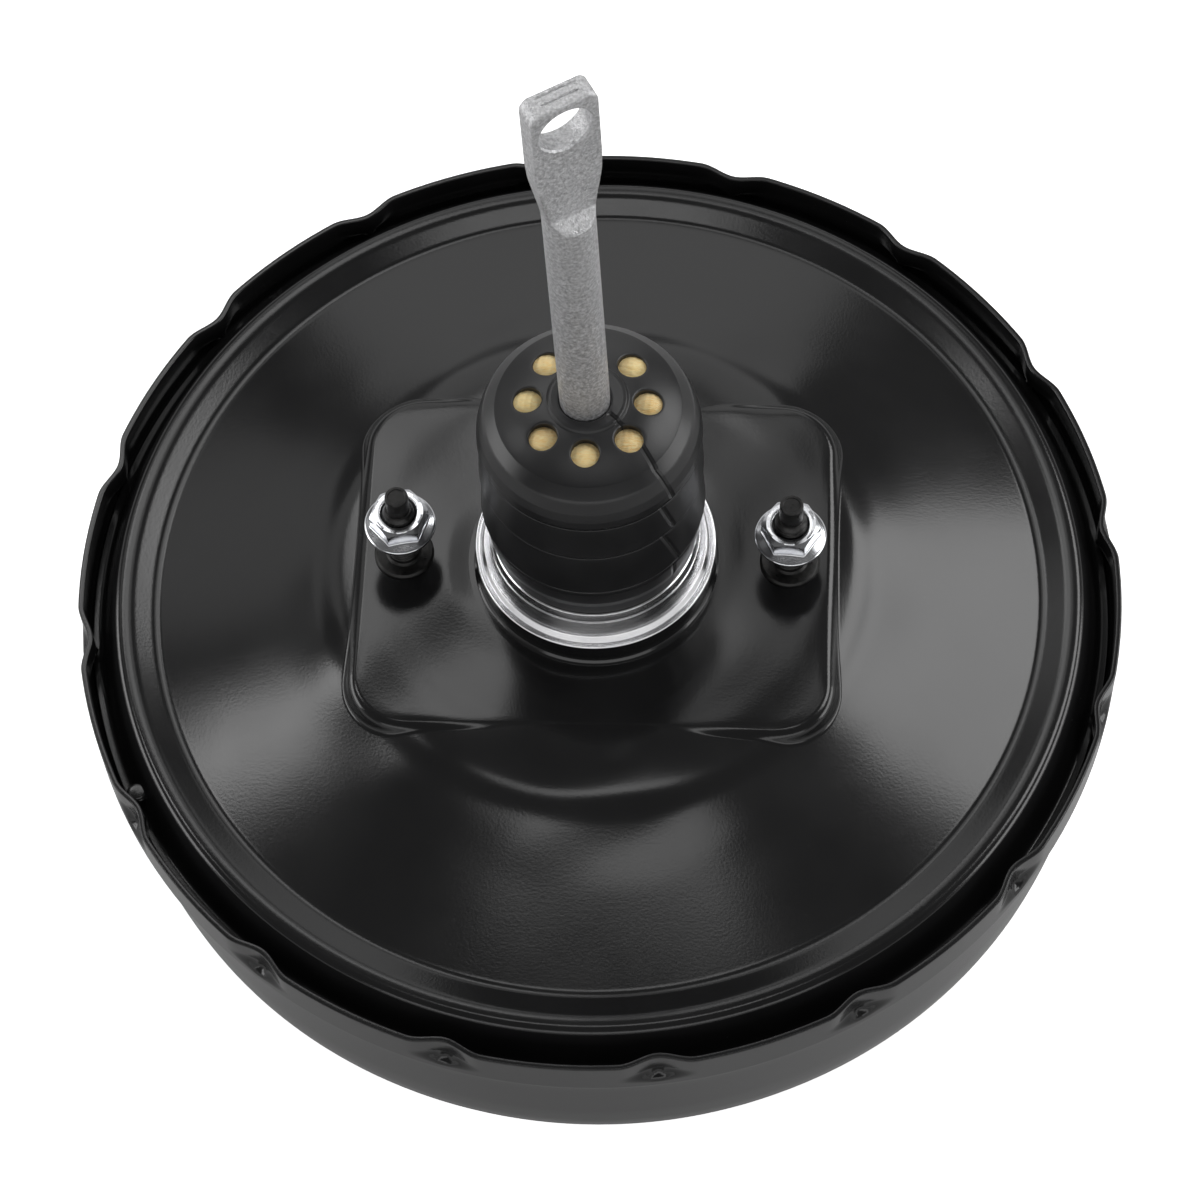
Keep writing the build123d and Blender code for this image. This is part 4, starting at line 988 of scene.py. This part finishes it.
def makeRod():
    # Each section is the reach in direction q from the axis: the least of the round bar, the
    # half width over cos q and the half thickness over sin q, with rounded corners between.
    s = rod
    clear = 30.0      # a reach beyond all others, where a surface doesn't cut
    q = evenAngles(s["columns"])
    stem = roundedLine([
        (0.02, 29.55), (3.6, 30.6, 2), (6.3, 34.2, 3), (6.3, 38.0, 3), (3.6, 42.0, 1), (3.6, 46.0, 1),
        (5.0, 49.0, 1), (5.0, 63.3, 0.2), (6.0, 63.6, 0.2), (6.0, 66.0)])
    runs = ((66, 150, 30), (150.5, 160, 30), (160.5, s["top"] - 3.4, 60))
    high = np.concatenate([np.linspace(*run) for run in runs])
    cap = np.linspace(0, np.pi / 2, 9)
    rise = s["endRise"]
    h = np.concatenate([stem[:, 1], high[1:], s["top"] - rise + rise * np.sin(cap)])
    barTop, flat = s["barTop"], s["thickness"] / 2
    widen = ramp(h, barTop, s["wideTop"])
    narrow = s["r"] + 0.35
    halfW = np.where(h < barTop, clear, narrow + (s["halfWidth"] - narrow) * widen)
    halfT = np.interp(h, (s["rampFoot"], s["rampFoot"] + 0.4, s["flatFoot"]), (6.6, flat + 2.3, flat))
    halfT = np.where(h < s["rampFoot"], clear, halfT)
    bar = np.where(h < barTop, np.interp(h, stem[:, 1], stem[:, 0], right=s["r"]), s["r"] + 3.0 * widen)
    # The top end draws in as it closes.
    halfW[-len(cap):] = s["halfWidth"] - s["endDraw"][0] * (1 - np.cos(cap))
    halfT[-len(cap):] = flat - s["endDraw"][1] * (1 - np.cos(cap)) ** 3
    c, d = np.abs(np.cos(q))[:, None], np.abs(np.sin(q))[:, None]
    reach = smoothMin(halfW / np.maximum(c, 1e-3), halfT / np.maximum(d, 1e-3), s["cornerRound"])
    reach = smoothMin(reach, np.broadcast_to(bar, reach.shape), s["barRound"])
    x, y = reach * np.cos(q)[:, None], reach * np.sin(q)[:, None]
    body = np.stack([x, y, np.broadcast_to(h, x.shape)], -1)
    # The flat end closes inwards; two shallow grooves run along it.
    shrink = np.linspace(1, 0, 26)[1:]
    ex, ey = body[:, -1:, 0] * shrink, body[:, -1:, 1] * shrink
    (first, firstY, firstHalf), (second, secondY, secondHalf) = s["grooves"]
    grooves = first * bump((ey - firstY) / firstHalf) * (1 - ramp(np.abs(ex), *s["grooveFade"]))
    grooves = grooves + second * bump((ey - secondY) / secondHalf)
    end = np.stack([ex, ey, body[:, -1:, 2] - grooves], -1)
    origin, across, axis = rodAxes()
    grid = onAxes(np.concatenate([body, end], 1), origin, across, axis)
    piece = meshObject("inputRod", [(grid, True, False)])
    # The eye's bore, with a small flare at each face, is cut through.
    eye, out, far = s["eyeR"], s["boreFlare"], s["cutHalf"]
    mouth = eye + out
    flare = np.array([
        (0, -far), (mouth, -far), (mouth, -flat - 0.05), (eye, -flat + out), (eye, flat - out),
        (mouth, flat + 0.05), (mouth, far), (0, far)])
    cutter = onAxes(lathe(flare, 96), origin + axis * s["eyeZ"], axis, np.cross(axis, across))
    tool = meshObject("eyeCutter", [(cutter, True, False)])
    cut = piece.modifiers.new("eye", "BOOLEAN")
    cut.object = tool
    cut.operation = "DIFFERENCE"
    cut.solver = "EXACT"
    bpy.context.view_layer.update()
    made = bpy.data.meshes.new_from_object(piece.evaluated_get(bpy.context.evaluated_depsgraph_get()))
    piece.modifiers.clear()
    piece.data = made
    bpy.data.objects.remove(tool)
    made.shade_smooth()
    made.set_sharp_from_angle(angle=np.radians(38))
    return piece


inputRod = makeRod()
finishPiece(inputRod, "input_rod", "input_rod", forged, "input_rod")
print("rod made")

plainNodes = (
    (plainSteel, ("seal_washer", "firewall_plate", "front_plate", "stop_key", "diaphragm_plate",
                  "rod_retainer", "air_valve_plunger", "poppet_washer", "poppet_retainer")),
    (innerRubber, ("neck_seal", "output_seal", "vacuum_grommet", "check_valve_disc", "reaction_disc")),
    (blackPlastic, ("check_valve_base", "check_valve_cap")),
    (zincPlate, ("master_studs", "output_rod", "rod_adjuster", "rod_spring_seat")),
    (springSteel, ("poppet_spring", "valve_spring")),
    (phenolic, ("valve_body",)),
    (foam, ("silencer",)),
)
for material, nodeNames in plainNodes:
    for nodeName in nodeNames:
        dress(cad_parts[nodeName], material)
print("inner nodes dressed")

springs = {
    "powerStroke": 0.032, "powerFoot": -0.09589, "powerTop": -0.03531,        # metres
    "checkLift": 0.0015, "checkAxis": (0.14866, 0.279589, -0.948541),
}
diaphragm = {"columns": 128, "splitR": 118.1, "bottom": -50.0, "top": -48.4, "spacing": 1.5}


def softCopy(name, nodeName, material):
    # The node's own triangles with their doubles merged, as a new piece.
    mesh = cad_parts[nodeName].data.copy()
    mesh.name = name
    edit = mergeDoubles(mesh, weldDistance / 10)
    edit.to_mesh(mesh)
    edit.free()
    piece = newPiece(name, mesh, 40)
    dress(piece, material)
    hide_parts(nodeName)
    return piece


def makeDiaphragmHalf(name, corners):
    # A closed profile turned about the axis; the two halves meet at the bottom of the fold.
    line = roundedLine(corners)
    line = dense(np.concatenate([line, line[:1]]), diaphragm["spacing"])[:-1]
    piece = meshObject(name, [(lathe(line, diaphragm["columns"]), True, True)])
    dress(piece, innerRubber)
    return piece


splitR, bottom, top = diaphragm["splitR"], diaphragm["bottom"], diaphragm["top"]
innerHalf = makeDiaphragmHalf("diaphragmSheet", [
    (27.4, -12.6), (25.1, -12.6, 0.5), (25.1, -8.6, 0.8), (29.7, -8.6, 0.8), (29.7, -11.0, 0.8),
    (40, -11.0, 3), (104.5, -18.65, 4), (109.63, -21.8, 3), (114.5, -45.83, 1.2), (116.4, top, 0.8),
    (splitR, top), (splitR, bottom), (115.6, bottom, 2), (113.0, -46.5, 2.5), (108.2, -22.8, 1.6),
    (104, -20.2, 2.6), (40, -12.6, 3),
])
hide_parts("diaphragm")
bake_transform(innerHalf)
outerHalf = makeDiaphragmHalf("diaphragmBead", [
    (splitR, bottom), (splitR, top), (119.8, top, 0.8), (121.76, -45.88, 1.2), (124.06, -24.3, 0.6),
    (129.5, -24.3, 0.5), (129.5, -25.9, 0.5), (125.5, -25.9, 1.6), (123.3, -46.5, 2.5), (120.6, bottom, 2),
])
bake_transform(outerHalf)

powerSpring = softCopy("returnSpring", "return_spring", springSteel)
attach(powerSpring, "housing")
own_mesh(powerSpring)

# The check valve's spring as a piece of its own; its point farthest along the port is found but not used.
checkSpring = softCopy("checkSpring", "check_valve_spring", springSteel)
checkPoints = np.array([vertex.co for vertex in checkSpring.data.vertices])
along = checkPoints @ np.array(springs["checkAxis"])
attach(checkSpring, "housing")
tuple(checkPoints[along.argmax()])
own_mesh(checkSpring)

poppetSkin = softCopy("poppetSeal", "poppet_rubber", innerRubber)
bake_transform(poppetSkin)
print("soft parts made")

stageSet = {
    "floorZ": -0.1275, "floorHalf": 3.0, "floorTone": 0.80, "floorGlow": 0.85,
    "world": 0.12, "horizon": 0.9, "horizonFade": (0.06, 0.30),
}
softLights = {
    # name: direction (azimuth, elevation), distance, width, height, radiance, turn about its own axis
    "rightSoftbox": (34, 49, 1.6, 0.86, 0.52, 4.6, -41),
    "leftSoftbox": (108, 58, 1.6, 0.33, 0.42, 2.4, 0),
    "leftCore": (126, 53, 1.6, 0.21, 0.30, 3.6, 0),
    "leftStrip": (161, 55, 1.6, 0.22, 0.30, 5.4, 0),
    "leftFill": (137, 40, 1.6, 0.50, 0.40, 0.7, 0),
    "overhead": (-90, 87, 1.6, 0.66, 0.22, 2.4, 0),
    "backPanel": (95, 34, 1.6, 1.10, 0.80, 0.9, 0),
    "plateauPanel": (87, 59, 1.6, 0.27, 0.42, 1.0, 0),
    "rightSide": (3, 20, 1.7, 1.3, 0.55, 3.8, 0),
    "leftSide": (177, 20, 1.7, 1.3, 0.55, 3.8, 0),
    "frontFill": (-88, 22, 1.7, 2.6, 0.45, 1.5, 0),
}


def cameraMix(tree, others, camera, output):
    # The camera sees the second shader, everything else the first.
    ray = addNode(tree, "LightPath").outputs["Is Camera Ray"]
    mix = addNode(tree, "MixShader", Fac=ray)
    feed(tree, mix.inputs[1], others)
    feed(tree, mix.inputs[2], camera)
    feed(tree, tree.nodes[output].inputs["Surface"], mix.outputs[0])


def makeFloor():
    # A pale square that glows for the camera alone.
    s = stageSet
    half, z = s["floorHalf"], s["floorZ"]
    mesh = bpy.data.meshes.new("floor")
    corners = [(-half, -half, z), (half, -half, z), (half, half, z), (-half, half, z)]
    mesh.from_pydata(corners, [], [(0, 1, 2, 3)])
    floor = bpy.data.objects.new("floor", mesh)
    bpy.context.scene.collection.objects.link(floor)
    material, tree, shader, _ = startMaterial("paleFloor")
    feed(tree, shader.inputs["Base Color"], (s["floorTone"],) * 3)
    shader.inputs["Roughness"].default_value = 0.9
    glow = addNode(tree, "Emission", Strength=s["floorGlow"])
    add = addNode(tree, "AddShader")
    feed(tree, add.inputs[0], shader.outputs[0])
    feed(tree, add.inputs[1], glow.outputs[0])
    cameraMix(tree, shader.outputs[0], add.outputs[0], "Material Output")
    mesh.materials.append(material)


def makeWorld():
    world = bpy.data.worlds.new("studio")
    bpy.context.scene.world = world
    world.use_nodes = True
    tree = world.node_tree
    back = tree.nodes["Background"]
    back.inputs["Color"].default_value = (1, 1, 1, 1)
    # The studio's pale walls: light near the horizon, dim above.
    way = tree.nodes.new("ShaderNodeTexCoord").outputs["Generated"]
    height = addNode(tree, "SeparateXYZ", Vector=way).outputs["Z"]
    level = rangeNode(tree, height, *stageSet["horizonFade"], stageSet["horizon"], stageSet["world"])
    feed(tree, back.inputs["Strength"], level)
    white = addNode(tree, "Background", Color=(1, 1, 1), Strength=1.0)
    cameraMix(tree, back.outputs[0], white.outputs[0], "World Output")


def makeLights():
    # Each lamp's power is its radiance times pi times its area.
    for name, (azimuth, elevation, distance, width, height, radiance, turn) in softLights.items():
        lamp = bpy.data.lights.new(name, "AREA")
        lamp.shape = "RECTANGLE"
        lamp.size, lamp.size_y = width, height
        lamp.energy = radiance * np.pi * width * height
        a, e = np.radians(azimuth), np.radians(elevation)
        way = Vector((np.cos(a) * np.cos(e), np.sin(a) * np.cos(e), np.sin(e)))
        obj = bpy.data.objects.new(name, lamp)
        obj.location = way * distance
        obj.rotation_euler = way.to_track_quat("Z", "Y").to_euler()
        obj.rotation_euler.rotate_axis("Z", np.radians(turn))
        obj.visible_camera = False
        bpy.context.scene.collection.objects.link(obj)


viewSet = {
    "azimuth": 5.1805, "elevation": 61.1932, "roll": -3.2642, "distance": 0.942918, "aside": 0.0004987,
    "above": -0.00475, "target": (0, 0, -0.0125),
    "sensor": 36, "frameWidth": 1200, "focalPixels": 3667.0,
}


def makeCamera():
    # The camera looks back along its direction at the target, then rolls about that line.
    s = viewSet
    azimuth, elevation, roll = (float(np.radians(s[key])) for key in ("azimuth", "elevation", "roll"))
    flat = np.cos(elevation)
    back = Vector((np.sin(azimuth) * flat, -np.cos(azimuth) * flat, np.sin(elevation)))
    level = (-back).cross(Vector((0, 0, 1))).normalized()
    upright = level.cross(-back)
    right = level * float(np.cos(roll)) + upright * float(np.sin(roll))
    up = upright * float(np.cos(roll)) - level * float(np.sin(roll))
    place = back * s["distance"] + right * s["aside"] + up * s["above"] + Vector(s["target"])
    camera = bpy.data.cameras.new("camera")
    camera.sensor_width = s["sensor"]
    camera.lens = s["focalPixels"] / s["frameWidth"] * s["sensor"]
    camera.clip_end = 20
    obj = bpy.data.objects.new("camera", camera)
    obj.matrix_world = Matrix((
        (right.x, up.x, back.x, place.x), (right.y, up.y, back.y, place.y),
        (right.z, up.z, back.z, place.z), (0, 0, 0, 1)))
    bpy.context.scene.collection.objects.link(obj)
    bpy.context.scene.camera = obj


makeFloor()
makeWorld()
makeLights()
makeCamera()
bpy.context.scene.view_settings.view_transform = "Standard"
print("stage made")
